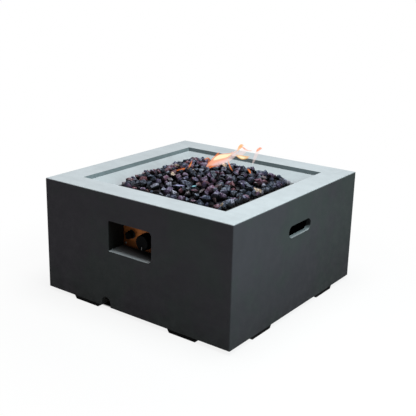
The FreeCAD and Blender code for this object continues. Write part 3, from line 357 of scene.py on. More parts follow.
def lava_finish(bed=False):
    """Broken lava rock: dark and pitted, each rock with its own tint. Painted light brightens the faces that
    look up, a pale mix of dust and painted highlight lies on top, and painted shade darkens each rock by its
    depth in the pile.
    """
    material, wires, surface = new_material("lava_bed" if bed else "lava_rock", 0.6, gloss=0.5)
    if bed:
        tint = wires.add("TexVoronoi", {"Vector": wires.place(), "Scale": 42.0}).outputs["Distance"]
        # Painted shade: the bed under the rocks is darkened as if deep in the pile.
        openness = 0.15
    else:
        tint = wires.add("Attribute", attribute_name="tint").outputs["Fac"]
        # Openness carries painted shade, lower towards each rock's foot and in the lower layer; it also takes
        # the gloss off deep parts.
        openness = wires.add("Attribute", attribute_name="openness").outputs["Fac"]
        wires.put(wires.times(openness, 0.6), surface["Specular IOR Level"])
    stops = [
        (0.00, (0.003, 0.007, 0.020)),
        (0.30, (0.009, 0.021, 0.052)),
        (0.46, (0.036, 0.022, 0.070)),
        (0.60, (0.088, 0.018, 0.052)),
        (0.72, (0.140, 0.036, 0.042)),
        (0.80, (0.095, 0.068, 0.072)),
        (0.90, (0.165, 0.180, 0.255)),
        (1.00, (0.400, 0.290, 0.200)),
    ]
    colour = wires.ramp(tint, stops)
    patches = wires.group("grain", scale=120.0, contrast=3.0)
    facing_up = wires.facing_up()
    # Painted light and shade: faces that look up are lighter, the undersides darker, and the openness darkens
    # rocks deep in the pile.
    lit_side = wires.spread(facing_up, -0.2, 0.9, 0.03, 1.9)
    depth = wires.calc("POWER", openness, 1.5)
    shade = wires.times(patches["Shade"], lit_side, depth)
    # A pale mix of dust and painted highlight on the faces that look up.
    up = wires.times(wires.spread(facing_up, 0.45, 1.0, 0.0, 1.0), openness)
    dust = wires.times(up, wires.spread(patches["Height"], 0.46, 0.62, 0.0, 0.9))
    dusted_and_highlit = wires.mix(dust, wires.scaled(colour, shade), (0.40, 0.44, 0.53, 1.0))
    pits = wires.group("pores", scale=300.0, share=0.85)
    # Painted shade: the pits are darkened inside.
    pitted = wires.mix(wires.times(pits["Mask"], 0.9), dusted_and_highlit, (0.002, 0.002, 0.003, 1.0))
    wires.put(pitted, surface["Base Color"])
    wires.put(wires.spread(patches["Height"], 0.3, 0.7, 0.34, 0.75), surface["Roughness"])
    coarse = wires.times(patches["Height"], 2.2)
    wires.put(wires.bump(wires.calc("ADD", coarse, pits["Height"]), 1.6 * MM, 1.0), surface["Normal"])
    return material


def metal_finish(name, colour, roughness, grain_scale, contrast, stretch=1.0, depth=0.02):
    """Bare metal: drawn, rolled or machined, with uneven gloss along its grain."""
    material, wires, surface = new_material(name, roughness, metallic=1.0)
    grain = wires.group("grain", scale=grain_scale, contrast=contrast, stretch=stretch)
    clouds = wires.group("grain", scale=40.0, contrast=contrast)
    shade = wires.times(grain["Shade"], clouds["Shade"])
    wires.put(wires.scaled(colour, shade), surface["Base Color"])
    uneven = wires.spread(clouds["Height"], 0.3, 0.7, roughness * 0.75, min(roughness * 1.35, 0.95))
    wires.put(uneven, surface["Roughness"])
    wires.put(wires.bump(grain["Height"], depth * MM, 0.6), surface["Normal"])
    return material


def banded_steel_finish(name, cool, warm, roughness):
    """Brushed steel coloured in bands between two orange-browns."""
    material, wires, surface = new_material(name, roughness, metallic=1.0)
    brushed = wires.group("grain", scale=260.0, contrast=0.5, stretch=0.06)
    bands = wires.group("grain", scale=16.0, contrast=1.0)
    share = wires.spread(bands["Height"], 0.38, 0.62, 0.0, 1.0, smooth=True)
    colour = wires.mix(share, (*cool, 1.0), (*warm, 1.0))
    wires.put(wires.scaled(colour, brushed["Shade"]), surface["Base Color"])
    uneven = wires.spread(brushed["Height"], 0.3, 0.7, roughness * 0.8, roughness * 1.3)
    wires.put(uneven, surface["Roughness"])
    wires.put(wires.bump(brushed["Height"], 0.03 * MM, 0.5), surface["Normal"])
    return material


def moulded_finish(name, colour, roughness, scale, depth, contrast, dust=0.0, gloss=0.5):
    """Plastic, rubber, glazed ceramic or paint, with its moulded skin and a little dust."""
    material, wires, surface = new_material(name, roughness, gloss=gloss)
    skin = wires.group("grain", scale=scale, contrast=contrast)
    clouds = wires.group("grain", scale=30.0, contrast=0.3)
    shade = wires.times(skin["Shade"], clouds["Shade"])
    up = wires.spread(wires.facing_up(), 0.2, 1.0, 0.0, dust)
    patch = wires.times(up, wires.spread(clouds["Height"], 0.35, 0.65, 0.0, 1.0))
    wires.put(wires.mix(patch, wires.scaled(colour, shade), (0.30, 0.29, 0.27, 1.0)), surface["Base Color"])
    uneven = wires.spread(clouds["Height"], 0.3, 0.7, roughness * 0.85, min(roughness * 1.2, 1.0))
    wires.put(uneven, surface["Roughness"])
    wires.put(wires.bump(skin["Height"], depth * MM, 0.6), surface["Normal"])
    return material


# Each metal's slot, name, colour, roughness, grain's scale, contrast, stretch and depth in mm
metals = {
    "stainless": ("brushed_stainless", (0.56, 0.55, 0.53), 0.3, 500.0, 0.3, 0.08, 0.03),
    "plated_steel": ("zinc_plated_steel", (0.62, 0.62, 0.6), 0.34, 900.0, 0.25),
    "galvanised": ("galvanised_sheet", (0.46, 0.48, 0.5), 0.45, 130.0, 0.7, 1.0, 0.01),
    "brass": ("machined_brass", (0.72, 0.52, 0.22), 0.27, 700.0, 0.25, 6.0, 0.02),
    "valve_alloy": ("cast_alloy", (0.5, 0.5, 0.5), 0.5, 600.0, 0.35, 1.0, 0.15),
    "tube_metal": ("drawn_tube", (0.68, 0.68, 0.69), 0.3, 300.0, 0.2, 0.2, 0.02),
    "lead_copper": ("copper_capillary", (0.72, 0.35, 0.2), 0.32, 400.0, 0.4, 0.3, 0.02),
    "spring_steel": ("spring_steel", (0.45, 0.45, 0.46), 0.33, 800.0, 0.25),
}

# Each moulding's slot, name, colour, roughness, skin's scale, depth in mm, contrast, dust and gloss
mouldings = {
    "pad_rubber": ("pad_rubber", (0.003, 0.003, 0.003), 0.8, 420.0, 0.12, 0.5, 0.02, 0.08),
    "knob_plastic": ("knob_plastic", (0.0015, 0.0017, 0.002), 0.4, 900.0, 0.05, 0.3, 0.006, 0.03),
    "pointer_white": ("pointer_inlay", (0.34, 0.35, 0.34), 0.5, 900.0, 0.02, 0.1),
    "igniter_plastic": ("igniter_plastic", (0.014, 0.014, 0.015), 0.5, 800.0, 0.05, 0.3, 0.08),
    "spark_ceramic": ("spark_ceramic", (0.75, 0.73, 0.68), 0.25, 500.0, 0.02, 0.1),
    "lead_silicone": ("lead_silicone", (0.30, 0.03, 0.02), 0.55, 600.0, 0.05, 0.2),
    "cell_case": ("cell_case", (0.03, 0.035, 0.05), 0.35, 300.0, 0.01, 0.3),
}

finishes = {}


def build_finishes(scene):
    """One material for each material slot of the record, under the slot's name."""
    finishes["concrete"] = concrete_finish(scene.fire_pit_concrete)
    finishes["lava"] = lava_finish()
    finishes["lava_bed"] = lava_finish(bed=True)
    finishes["panel_steel"] = banded_steel_finish(
        "control_panel_steel", cool=(0.27, 0.10, 0.04), warm=(0.40, 0.14, 0.04), roughness=0.52
    )
    for slot, values in metals.items():
        finishes[slot] = metal_finish(*values)
    for slot, values in mouldings.items():
        finishes[slot] = moulded_finish(*values)


def dress(*slot_names):
    """Gives each carried-over node of these slots its finish."""
    for part in frame["record"]["subparts"]:
        if part["material_slot"] in slot_names:
            name = "lava_bed" if part["node"] == "lava_rock_bed" else part["material_slot"]
            node = frame["nodes"][part["node"]]
            node.data.materials.clear()
            node.data.materials.append(finishes[name])


# Mesh helpers


def turned_solid(profile, segments):
    """A solid of revolution about Z, closed at both ends, from points given as (radius, height)."""
    mesh = bmesh.new()
    points = [mesh.verts.new((radius, 0, height)) for radius, height in profile]
    for first, second in zip(points, points[1:]):
        mesh.edges.new((first, second))
    bmesh.ops.spin(
        mesh,
        geom=mesh.verts[:] + mesh.edges[:],
        cent=(0, 0, 0),
        axis=(0, 0, 1),
        dvec=(0, 0, 0),
        angle=2 * math.pi,
        steps=segments,
        use_merge=True,
        use_duplicate=False,
    )
    bmesh.ops.remove_doubles(mesh, verts=mesh.verts, dist=1e-6)
    bmesh.ops.dissolve_degenerate(mesh, dist=1e-7, edges=mesh.edges)
    return mesh


def rounded(mesh, edges, offset, segments):
    bmesh.ops.bevel(
        mesh, geom=edges, offset=offset, offset_type="OFFSET", segments=segments, profile=0.5,
        affect="EDGES", material=-1,
    )


def face_front(mesh, x, y, z):
    """Turns a piece made along +Z so that its +Z points to the front, -Y, and its foot is at the place."""
    turn = Matrix.Translation((x, y, z)) @ Matrix.Rotation(math.radians(90), 4, "X")
    bmesh.ops.transform(mesh, matrix=turn, verts=mesh.verts)


def linked_object(name, data):
    made = bpy.data.objects.new(name, data)
    bpy.context.scene.collection.objects.link(made)
    return made


def mesh_object(name, mesh, material):
    """Turns the mesh into an object of the scene, with outward faces."""
    bmesh.ops.recalc_face_normals(mesh, faces=mesh.faces)
    data = bpy.data.meshes.new(name)
    mesh.to_mesh(data)
    mesh.free()
    data.materials.append(material)
    return linked_object(name, data)


def finished_piece(name, mesh, body, slot, replaced=(), smooth=30):
    """Turns the mesh into a piece, and hangs it on its body."""
    piece = mesh_object(name, mesh, finishes[slot])
    if smooth:
        piece.data.shade_smooth()
        piece.data.set_sharp_from_angle(angle=math.radians(smooth))
    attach(piece, body)
    if replaced:
        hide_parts(*replaced)
    return piece


# Settings that a user would change


def colour_setting(name, description, *shown):
    return FloatVectorProperty(
        name=name, description=description, default=linear(*shown), subtype="COLOR", size=3, min=0, max=1
    )


def length_setting(name, description, default):
    return FloatProperty(
        name=name, description=description, default=default * MM, subtype="DISTANCE", unit="LENGTH"
    )


def level_setting(name, description, default, low=0, **limits):
    return FloatProperty(name=name, description=description, default=default, min=low, **limits)


def count_setting(name, description, default, **limits):
    return IntProperty(name=name, description=description, default=default, **limits)


class ConcreteLook(bpy.types.PropertyGroup):
    # Painted light and shade: the wall and well colours stand for shade on the pale concrete, whose own grey
    # is the rim colour on the faces that look up.
    wall_shade_colour: colour_setting("Wall colour", "Charcoal of the walls", 74, 78, 78)
    wall_second_shade_colour: colour_setting("Second wall colour", "Charcoal of the warmer patches", 76, 74, 79)
    well_shade_colour: colour_setting("Well colour", "Grey of the low wall round the hearth", 138, 150, 154)
    rim_colour: colour_setting("Rim colour", "Pale grey of the faces that look up", 187, 194, 198)
    # Painted shade: how dark the inside of the control window and of the hand slots is painted.
    recess_shade: level_setting(
        "Recess shade", "How dark the inside of the control window is", 0.95, subtype="FACTOR", max=1
    )
    pore_scale: level_setting("Pore scale", "How many pore cells lie along one metre", 150.0, low=10)


class LavaLook(bpy.types.PropertyGroup):
    pitch: length_setting("Pitch", "Distance between rocks of the upper layer", 24)
    smallest: length_setting("Smallest", "Radius of the smallest rocks", 10)
    largest: length_setting("Largest", "Radius of the largest rocks", 18.5)
    bare_edge: length_setting("Bare edge", "How far the pile stops short of the pan's left wall", 14)
    spill: length_setting("Spill", "How far the pile reaches over the pan's right and front edges", 11)
    corners: count_setting("Corners", "Points that each rock is broken from", 20, min=8, max=40)
    seed: count_setting("Seed", "Which of the random layouts is laid", 11)


class KnobLook(bpy.types.PropertyGroup):
    flutes: count_setting("Flutes", "Finger grooves round the knob", 18, min=6, max=40)
    flute_depth: length_setting("Flute depth", "How deep each groove is", 1.5)
    ticks: count_setting("Ticks", "Marks of the dial between off and high", 7, min=2, max=12)


class StageLook(bpy.types.PropertyGroup):
    key_power: level_setting("Key power", "Soft light from above, in watts", 74.0)
    side_power: level_setting("Side power", "Soft light from the right, in watts", 7.5)
    room_level: level_setting("Room level", "Light from all round", 0.15)
    flame_thickness: level_setting("Flame thickness", "How little the flames let through", 160.0)


# Pieces


class DressStep:
    """A step that gives the nodes of some slots their finishes."""

    def execute(self, context):
        dress(*self.slots)
        return {"FINISHED"}


class FIREPIT_OT_concrete(DressStep, bpy.types.Operator):
    """Finish the cast concrete body"""

    bl_idname = "fire_pit.concrete"
    bl_label = "Concrete body"
    slots = ("concrete",)


class FIREPIT_OT_steelwork(DressStep, bpy.types.Operator):
    """Finish the pan, burner, guard, shield, control box, panel and bracket"""

    bl_idname = "fire_pit.steelwork"
    bl_label = "Steelwork"
    slots = ("stainless", "galvanised", "panel_steel", "spring_steel")


class FIREPIT_OT_fasteners(DressStep, bpy.types.Operator):
    """Finish the screws, nuts, studs, spacers and brass inserts"""

    bl_idname = "fire_pit.fasteners"
    bl_label = "Fasteners"
    slots = ("plated_steel",)


class FIREPIT_OT_gas_line(DressStep, bpy.types.Operator):
    """Finish the valve, tubes, mixer, jet, nuts and inlet"""

    bl_idname = "fire_pit.gas_line"
    bl_label = "Gas line"
    slots = ("valve_alloy", "tube_metal", "brass")


class FIREPIT_OT_ignition(DressStep, bpy.types.Operator):
    """Finish the electrode, thermocouple, leads, igniter and cell"""

    bl_idname = "fire_pit.ignition"
    bl_label = "Ignition"
    slots = ("spark_ceramic", "lead_silicone", "lead_copper", "cell_case", "igniter_plastic", "pad_rubber")


def crest_height(x, y):
    """The level of the rocks' tops: nearly flat in the middle, and one small rock above the pan's edge."""
    share = min(max(abs(x), abs(y)) / rocks_high.x, 1.0)
    edge = pan_high.z + 20 * MM
    return edge + (rocks_high.z - edge) * (1 - share**3)


def broken_rock(mesh, centre, radius, corners, shade, light):
    """One angular rock: the hull of random points on an uneven ball, tinted, with painted shade that darkens
    it towards its foot.
    """
    tint = mesh.verts.layers.float["tint"]
    openness = mesh.verts.layers.float["openness"]
    squash = Vector((random.uniform(0.72, 1.2), random.uniform(0.8, 1.15), random.uniform(0.6, 0.95)))
    angle = random.uniform(0, math.tau)
    turn = Matrix.Rotation(angle, 3, Vector((random.gauss(0, 1), random.gauss(0, 1), 1)))
    points = []
    for _ in range(corners):
        way = Vector((random.gauss(0, 1), random.gauss(0, 1), random.gauss(0, 1))).normalized()
        reach = radius * random.uniform(0.68, 1.1)
        points.append(mesh.verts.new(centre + turn @ (way * reach * squash)))
    for point in points:
        # Painted shade: openness falls towards the rock's foot and with the layer's light.
        height = 0.48 + (point.co.z - centre.z) / radius * 0.7
        point[tint] = shade
        point[openness] = light * min(1.0, max(0.03, height))
    hull = bmesh.ops.convex_hull(mesh, input=points, use_existing_faces=False)
    left_out = hull["geom_interior"] + hull["geom_unused"]
    spare = {item for item in left_out if isinstance(item, bmesh.types.BMVert)}
    bmesh.ops.delete(mesh, geom=list(spare), context="VERTS")


class FIREPIT_OT_lava_rocks(bpy.types.Operator):
    """Lay the lava rocks in two close layers over the bed"""

    bl_idname = "fire_pit.lava_rocks"
    bl_label = "Lava rocks"

    def execute(self, context):
        look = context.scene.fire_pit_lava
        dress("lava")
        random.seed(look.seed)
        mesh = bmesh.new()
        mesh.verts.layers.float.new("tint")
        mesh.verts.layers.float.new("openness")
        # The lower layer's light of 0.25 is painted shade deep in the pile.
        self.lay(mesh, look, pitch=look.pitch * 1.15, depth=1.9, light=0.25, spill=0.0)
        self.lay(mesh, look, pitch=look.pitch, depth=0.9, light=1.0, spill=look.spill)
        finished_piece("lava_rock_layer", mesh, "fire_pit", "lava", ["lava_rocks"], smooth=0)
        return {"FINISHED"}

    def lay(self, mesh, look, pitch, depth, light, spill):
        """One layer of rocks in offset rows, at a depth in radii under the crest, each nudged at random.

        The pile stops short of the pan's left wall, and spills a little over its right and front edges."""
        reach = rocks_high.x
        row_pitch = pitch * math.sqrt(3) / 2
        nudge = pitch * 0.26
        for row in range(int((2 * reach + spill) / row_pitch) + 1):
            for column in range(int((2 * reach + spill) / pitch) + 1):
                x = -reach + (column + 0.5 * (row % 2)) * pitch + random.uniform(-nudge, nudge)
                y = reach - row * row_pitch + random.uniform(-nudge, nudge)
                radius = look.smallest + (look.largest - look.smallest) * random.random() ** 1.4
                inset = radius * 0.8
                x = max(look.bare_edge + inset - reach, min(reach + spill - inset, x))
                y = max(inset - reach - spill, min(reach - inset, y))
                z = crest_height(x, y) - radius * depth + random.uniform(-3, 3) * MM
                out = max(abs(x), abs(y)) / reach
                if spill and out > 0.93:
                    z = max(z, pan_high.z + radius * 0.6)
                is_tan = random.random() > 0.992
                shade = 1.0 if is_tan else random.random() * (0.62 + 0.38 * min(out, 1)) * 0.95
                broken_rock(mesh, Vector((x, y, z)), radius, look.corners, shade, light)


class FIREPIT_OT_knob(bpy.types.Operator):
    """Make the fluted control knob, its pointer and the dial marks"""

    bl_idname = "fire_pit.knob"
    bl_label = "Control knob"

    def execute(self, context):
        look = context.scene.fire_pit_knob
        centre = middle(knob_low, knob_high)
        self.make_knob(look, centre)
        self.make_pointer()
        self.make_ticks(look, centre)
        return {"FINISHED"}

    def make_knob(self, look, centre):
        back_radius = (knob_high.x - knob_low.x) / 2
        length = knob_high.y - knob_low.y
        front_radius = back_radius - 1.5 * MM
        edge = 1.8 * MM
        wall = 3 * MM
        profile = [
            (0, length - 0.7 * MM),
            (front_radius * 0.70, length - 0.7 * MM),
            (front_radius * 0.76, length - 0.1 * MM),
            (front_radius - edge, length),
            (front_radius - edge * 0.3, length - edge * 0.3),
            (front_radius, length - edge),
            (front_radius + 0.45 * MM, length * 0.62),
            (front_radius + 0.9 * MM, length * 0.36),
            (back_radius - 0.3 * MM, 5.2 * MM),
            (back_radius - 0.1 * MM, 4.2 * MM),
            (back_radius, 3.4 * MM),
            (back_radius, 0.6 * MM),
            (back_radius - 0.6 * MM, 0),
            (back_radius - wall, 0),
            (back_radius - wall - 1 * MM, length - wall),
            (0, length - wall),
        ]
        mesh = turned_solid(profile, look.flutes * 12)
        low, high = 4.4 * MM, length - edge * 0.2
        for vert in mesh.verts:
            radius = math.hypot(vert.co.x, vert.co.y)
            if radius > front_radius - edge * 0.6 and low < vert.co.z < high:
                angle = math.atan2(vert.co.y, vert.co.x)
                groove = max(0.0, math.cos(angle * look.flutes + math.pi * look.flutes / 2)) ** 0.8
                scale = (radius - look.flute_depth * groove) / radius
                vert.co.x *= scale
                vert.co.y *= scale
        face_front(mesh, centre.x, knob_high.y, centre.z)
        finished_piece("control_knob_cap", mesh, "control_knob", "knob_plastic", ["control_knob"], smooth=38)

    def make_pointer(self):
        size = pointer_high - pointer_low
        mesh = bmesh.new()
        bmesh.ops.create_cube(mesh, size=1.0)
        bmesh.ops.scale(mesh, vec=size, verts=mesh.verts)
        upright = [edge for edge in mesh.edges if abs(edge.verts[0].co.y - edge.verts[1].co.y) > size.y / 2]
        rounded(mesh, upright, size.x * 0.46, 5)
        front = [edge for edge in mesh.edges if max(vert.co.y for vert in edge.verts) < 0]
        rounded(mesh, front, 0.25 * MM, 2)
        bmesh.ops.translate(mesh, vec=middle(pointer_low, pointer_high), verts=mesh.verts)
        finished_piece("knob_pointer_inlay", mesh, "control_knob", "pointer_white", ["knob_pointer"])

    def make_ticks(self, look, centre):
        """Plain marks round the knob, longer towards high, over the half turn that it sweeps."""
        mesh = bmesh.new()
        radius, width, height, sunk = 27.5 * MM, 0.9 * MM, 0.16 * MM, 0.05 * MM
        for step in range(look.ticks):
            share = step / (look.ticks - 1)
            angle = math.pi * share
            length = (1.6 + 1.8 * share) * MM
            made = bmesh.ops.create_cube(mesh, size=1.0)["verts"]
            bmesh.ops.scale(mesh, vec=(width, height, length), verts=made)
            bmesh.ops.translate(mesh, vec=(0, 0, radius + length / 2), verts=made)
            turn = Matrix.Rotation(angle, 3, "Y")
            bmesh.ops.rotate(mesh, cent=(0, 0, 0), matrix=turn, verts=made)
        bmesh.ops.translate(mesh, vec=(centre.x, panel_low.y - sunk, centre.z), verts=mesh.verts)
        finished_piece("dial_marks", mesh, "fire_pit", "pointer_white", smooth=0)


class FIREPIT_OT_igniter(bpy.types.Operator):
    """Make the igniter's button and its knurled bezel"""

    bl_idname = "fire_pit.igniter"
    bl_label = "Igniter button and bezel"

    def execute(self, context):
        self.make_button()
        self.make_bezel()
        return {"FINISHED"}

    def make_button(self):
        centre = middle(button_low, button_high)
        radius = (button_high.x - button_low.x) / 2
        length = button_high.y - button_low.y
        wall = 3.2 * MM
        profile = [
            (0, length - 0.9 * MM),
            (radius * 0.35, length - 0.8 * MM),
            (radius * 0.62, length - 0.45 * MM),
            (radius * 0.78, length),
            (radius * 0.9, length - 0.25 * MM),
            (radius * 0.975, length - 1.0 * MM),
            (radius, length - 1.9 * MM),
            (radius, 0.5 * MM),
            (radius - 0.5 * MM, 0),
            (radius - wall, 0),
            (radius - wall, length - 2.0 * MM),
            (0, length - 2.0 * MM),
        ]
        mesh = turned_solid(profile, 72)
        face_front(mesh, centre.x, button_high.y, centre.z)
        replaced = ["igniter_button"]
        finished_piece("igniter_button_cap", mesh, "igniter_button", "knob_plastic", replaced, smooth=40)

    def make_bezel(self):
        centre = middle(bezel_low, bezel_high)
        radius = (bezel_high.x - bezel_low.x) / 2
        height = bezel_high.y - bezel_low.y
        bore = 8.05 * MM
        profile = [
            (bore, 0),
            (radius, 0),
            (radius, height - 1.0 * MM),
            (radius - 0.35 * MM, height - 0.3 * MM),
            (radius - 1.1 * MM, height),
            (bore + 0.6 * MM, height),
            (bore, height - 0.6 * MM),
            (bore, 0),
        ]
        notches = 32
        mesh = turned_solid(profile, notches * 4)
        for vert in mesh.verts:
            across = math.hypot(vert.co.x, vert.co.y)
            if across > radius * 0.98 and vert.co.z < height * 0.8:
                angle = math.atan2(vert.co.y, vert.co.x)
                scale = 1 - 0.35 * MM * max(0.0, math.cos(angle * notches)) / across
                vert.co.x *= scale
                vert.co.y *= scale
        face_front(mesh, centre.x, bezel_high.y, centre.z)
        replaced = ["igniter_bezel"]
        finished_piece("igniter_bezel_ring", mesh, "fire_pit", "igniter_plastic", replaced, smooth=35)


class FIREPIT_OT_springs(bpy.types.Operator):
    """Wind the springs behind the knob and the button"""

    bl_idname = "fire_pit.springs"
    bl_label = "Springs"

    def execute(self, context):
        self.wind("valve_coil", "valve_spring", "knob_push", 0.55 * MM)
        self.wind("button_coil", "igniter_spring", "igniter_push", 0.45 * MM)
        return {"FINISHED"}

    def wind(self, name, node, push, wire):
        low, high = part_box(node)
        centre = middle(low, high)
        length = high.y - low.y
        turns, per_turn = 5, 24
        mesh = bmesh.new()
        across = Matrix.Translation(((high.x - low.x) / 2 - wire, 0, 0))
        bmesh.ops.create_circle(mesh, cap_ends=False, segments=8, radius=wire, matrix=across)
        bmesh.ops.spin(
            mesh,
            geom=mesh.verts[:] + mesh.edges[:],
            cent=(0, 0, 0),
            axis=(0, -1, 0),
            dvec=(0, (length - 2 * wire) / (turns * per_turn), 0),
            angle=2 * math.pi * turns,
            steps=turns * per_turn,
            use_merge=False,
            use_duplicate=False,
        )
        bmesh.ops.holes_fill(mesh, edges=[edge for edge in mesh.edges if edge.is_boundary], sides=0)
        place = Matrix.Translation((centre.x, low.y + wire, centre.z))
        bmesh.ops.transform(mesh, matrix=place, verts=mesh.verts)
        coil = finished_piece(name, mesh, "fire_pit", "spring_steel", [node], smooth=60)
        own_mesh(coil)


class FIREPIT_OT_inlet_thread(bpy.types.Operator):
    """Cut the thread of the gas inlet's stub"""

    bl_idname = "fire_pit.inlet_thread"
    bl_label = "Inlet thread"

    def execute(self, context):
        centre = middle(inlet_low, inlet_high)
        pitch = 1.4 * MM
        length = inlet_nut_low.y - inlet_low.y - 1.5 * MM
        root, crest, bore = 7.5 * MM, 8.2 * MM, 6.0 * MM
        axis_height = 23 * MM
        profile = [(bore, 0)]
        for turn in range(int(length / pitch)):
            profile.append((root, turn * pitch))
            profile.append((crest, (turn + 0.5) * pitch))
        profile.append((root, length))
        profile.append((bore, length))
        profile.append((bore, 0))
        mesh = turned_solid(profile, 48)
        face_front(mesh, centre.x, inlet_nut_low.y, axis_height)
        finished_piece("inlet_stub_thread", mesh, "fire_pit", "brass", smooth=20)
        return {"FINISHED"}


# Stage

camera_azimuth = math.radians(37.321)
camera_elevation = math.radians(17.069)
camera_roll = math.radians(0.925)
camera_distance = 2407.1 * MM
camera_aim = Vector((0, 0, 192 * MM))
camera_slide = -48.5 * MM
camera_lift = 82.6 * MM
camera_lens = 66.58
camera_shift = (0.048, -0.019)


def studio_material(name):
    """A pale floor that the camera and mirrors see as white, with a painted shadow of near black under the
    body, and that takes shadows.
    """
    material, wires, surface = new_material(name, 0.9, gloss=0.0)
    rays = wires.add("LightPath")
    seen = wires.calc("MAXIMUM", rays.outputs["Is Camera Ray"], rays.outputs["Is Glossy Ray"])
    seen = wires.calc("MAXIMUM", seen, rays.outputs["Is Transmission Ray"])
    farthest = wires.farthest(wires.coordinates())
    # Painted shadow: under the body the floor is near black and gives no white.
    clear = wires.spread(farthest, body_high.x - 26 * MM, body_high.x - 18 * MM, 0.0, 1.0)
    pale = wires.mix(clear, (0.02, 0.02, 0.02, 1.0), (0.86, 0.86, 0.86, 1.0))
    wires.put(wires.mix(seen, (0.3, 0.3, 0.3, 1.0), pale), surface["Base Color"])
    away = wires.add("VectorMath", operation="LENGTH")
    wires.put(wires.place(), away.inputs[0])
    fade = wires.spread(away.outputs["Value"], 0.45, 0.95, 0.86, 1.0, smooth=True)
    white = wires.times(clear, fade)
    light = wires.add("Emission", {"Color": (1.0, 1.0, 1.0, 1.0), "Strength": 1.0})
    both = wires.add("MixShader", {"Fac": wires.times(seen, white)})
    nodes = {node.bl_idname: node for node in material.node_tree.nodes}
    wires.put(nodes["ShaderNodeBsdfPrincipled"].outputs[0], both.inputs[1])
    wires.put(light.outputs[0], both.inputs[2])
    wires.put(both.outputs[0], nodes["ShaderNodeOutputMaterial"].inputs["Surface"])
    return material


def area_light(name, place, aim, size, power, colour):
    data = bpy.data.lights.new(name, "AREA")
    data.shape = "DISK"
    data.size = size
    data.energy = power
    data.color = colour
    lamp = linked_object(name, data)
    lamp.location = place
    lamp.rotation_euler = (Vector(aim) - Vector(place)).to_track_quat("-Z", "Y").to_euler()


def flame_material(name, colour, thickness):
    """Glowing gas: thick gas shows its own colour, and thin gas lets the background through."""
    material = bpy.data.materials.new(name)
    material.use_nodes = True
    material.node_tree.nodes.clear()
    wires = Wiring(material.node_tree)
    end = wires.add("OutputMaterial")
    licks = wires.add("TexNoise", {"Vector": wires.place(), "Scale": 70.0, "Detail": 2.0, "Distortion": 1.5})
    gas = wires.spread(licks.outputs["Fac"], 0.36, 0.58, 0.3 * thickness, thickness, smooth=True)
    glow = wires.add("Emission", {"Color": (*colour, 1.0), "Strength": gas})
    tint = wires.add("VolumeAbsorption", {"Color": (0.0, 0.0, 0.0, 1.0), "Density": gas})
    both = wires.add("AddShader")
    wires.put(glow.outputs[0], both.inputs[0])
    wires.put(tint.outputs[0], both.inputs[1])
    wires.put(both.outputs[0], end.inputs["Volume"])
    return material


flame_plane_turn = Matrix.Rotation(camera_azimuth, 4, "Z")

# Each gas by its colour and its share of the flames' thickness
gases = {
    "orange": ((1.0, 0.27, 0.08), 1),
    "amber": ((1.0, 0.50, 0.16), 1),
    "peach": ((1.0, 0.46, 0.30), 1),
    "pink": ((1.0, 0.60, 0.55), 0.7),
    "cream": ((1.0, 0.95, 0.62), 2.2),
    "haze": ((1.0, 0.78, 0.74), 0.3),
    "violet": ((0.62, 0.62, 1.0), 2),
    "blue": ((0.40, 0.85, 1.0), 2),
}

# Each flame's name, depth behind the middle, gas and route of (across, height, half width), in mm
flames = (
    ("left", -14, "orange", (
        (-93, 372, 1), (-84, 377, 4), (-71, 379, 4.5), (-58, 382, 5), (-47, 388, 6),
        (-42, 399, 4), (-38, 413, 0.5),
    )),
    ("left_core", -26, "amber", ((-56, 383, 0.5), (-48, 388, 3), (-43, 397, 2.5), (-40, 406, 0.5))),
    ("curl", 24, "orange", (
        (-4, 400, 1), (4, 406, 4), (12, 407, 5), (15, 400, 4), (9, 394, 5), (16, 386, 7),
    )),
    ("main", 24, "peach", (
        (4, 378, 4), (15, 387, 11), (28, 398, 17), (43, 406, 21), (58, 411, 19), (71, 415, 13),
        (81, 421, 6), (87, 431, 0.5),
    )),
    ("main_core", 6, "cream", (
        (24, 404, 3), (34, 411, 9), (47, 416, 11), (60, 418, 10), (72, 421, 6), (82, 427, 0.5),
    )),
    ("main_low", 2, "pink", ((18, 386, 3), (32, 394, 8), (50, 400, 9), (66, 406, 6), (78, 412, 0.5))),
    ("main_edge", 26, "orange", ((10, 383, 4), (22, 398, 7), (33, 411, 7), (40, 421, 5), (46, 428, 0.5))),
    ("main_foot", -2, "orange", ((4, 376, 3), (12, 383, 6), (22, 388, 5), (36, 388, 3), (50, 391, 0.5))),
    ("main_haze", 28, "haze", (
        (16, 384, 8), (40, 392, 16), (64, 400, 18), (84, 412, 16), (100, 430, 10),
        (106, 444, 2),
    )),
    ("link", 24, "peach", ((72, 408, 2), (84, 420, 3), (96, 430, 3), (104, 434, 0.5))),
    ("lick", -30, "orange", ((67, 416, 0.5), (70, 408, 4), (74, 397, 4.5), (78, 388, 4), (85, 380, 0.5))),
    ("tall", 24, "amber", ((98, 428, 1), (103, 437, 7), (108, 445, 10), (114, 450, 8), (120, 446, 0.5))),
    ("tall_edge", 26, "orange", (
        (104, 447, 2), (114, 443, 5), (126, 433, 4), (136, 430, 4), (146, 432, 0.5),
    )),
    ("tall_haze", 28, "haze", ((96, 412, 4), (108, 420, 15), (118, 428, 14), (128, 431, 6))),
    ("second", 24, "amber", ((92, 419, 1), (104, 413, 9), (117, 409, 12), (130, 410, 8), (140, 416, 0.5))),
    ("second_core", 8, "cream", ((98, 420, 1), (107, 415, 6), (118, 413, 7), (128, 413, 0.5))),
    ("third", 24, "orange", ((156, 427, 1), (160, 433, 6), (166, 438, 8), (172, 441, 6), (175, 437, 0.5))),
    ("third_haze", 28, "haze", (
        (146, 384, 2), (151, 400, 7), (156, 416, 10), (164, 431, 10), (170, 440, 3),
    )),
    ("spark", -38, "orange", ((125, 391, 1), (131, 388, 5), (135, 382, 6), (138, 375, 2))),
    ("violet", -196, "violet", ((-96, 380, 0.5), (-84, 381, 2), (-70, 381, 3), (-58, 379, 0.5))),
    ("blue", -193, "blue", ((-42, 377, 0.5), (-36, 378, 4), (-30, 379, 3.5), (-25, 380, 0.5))),
)


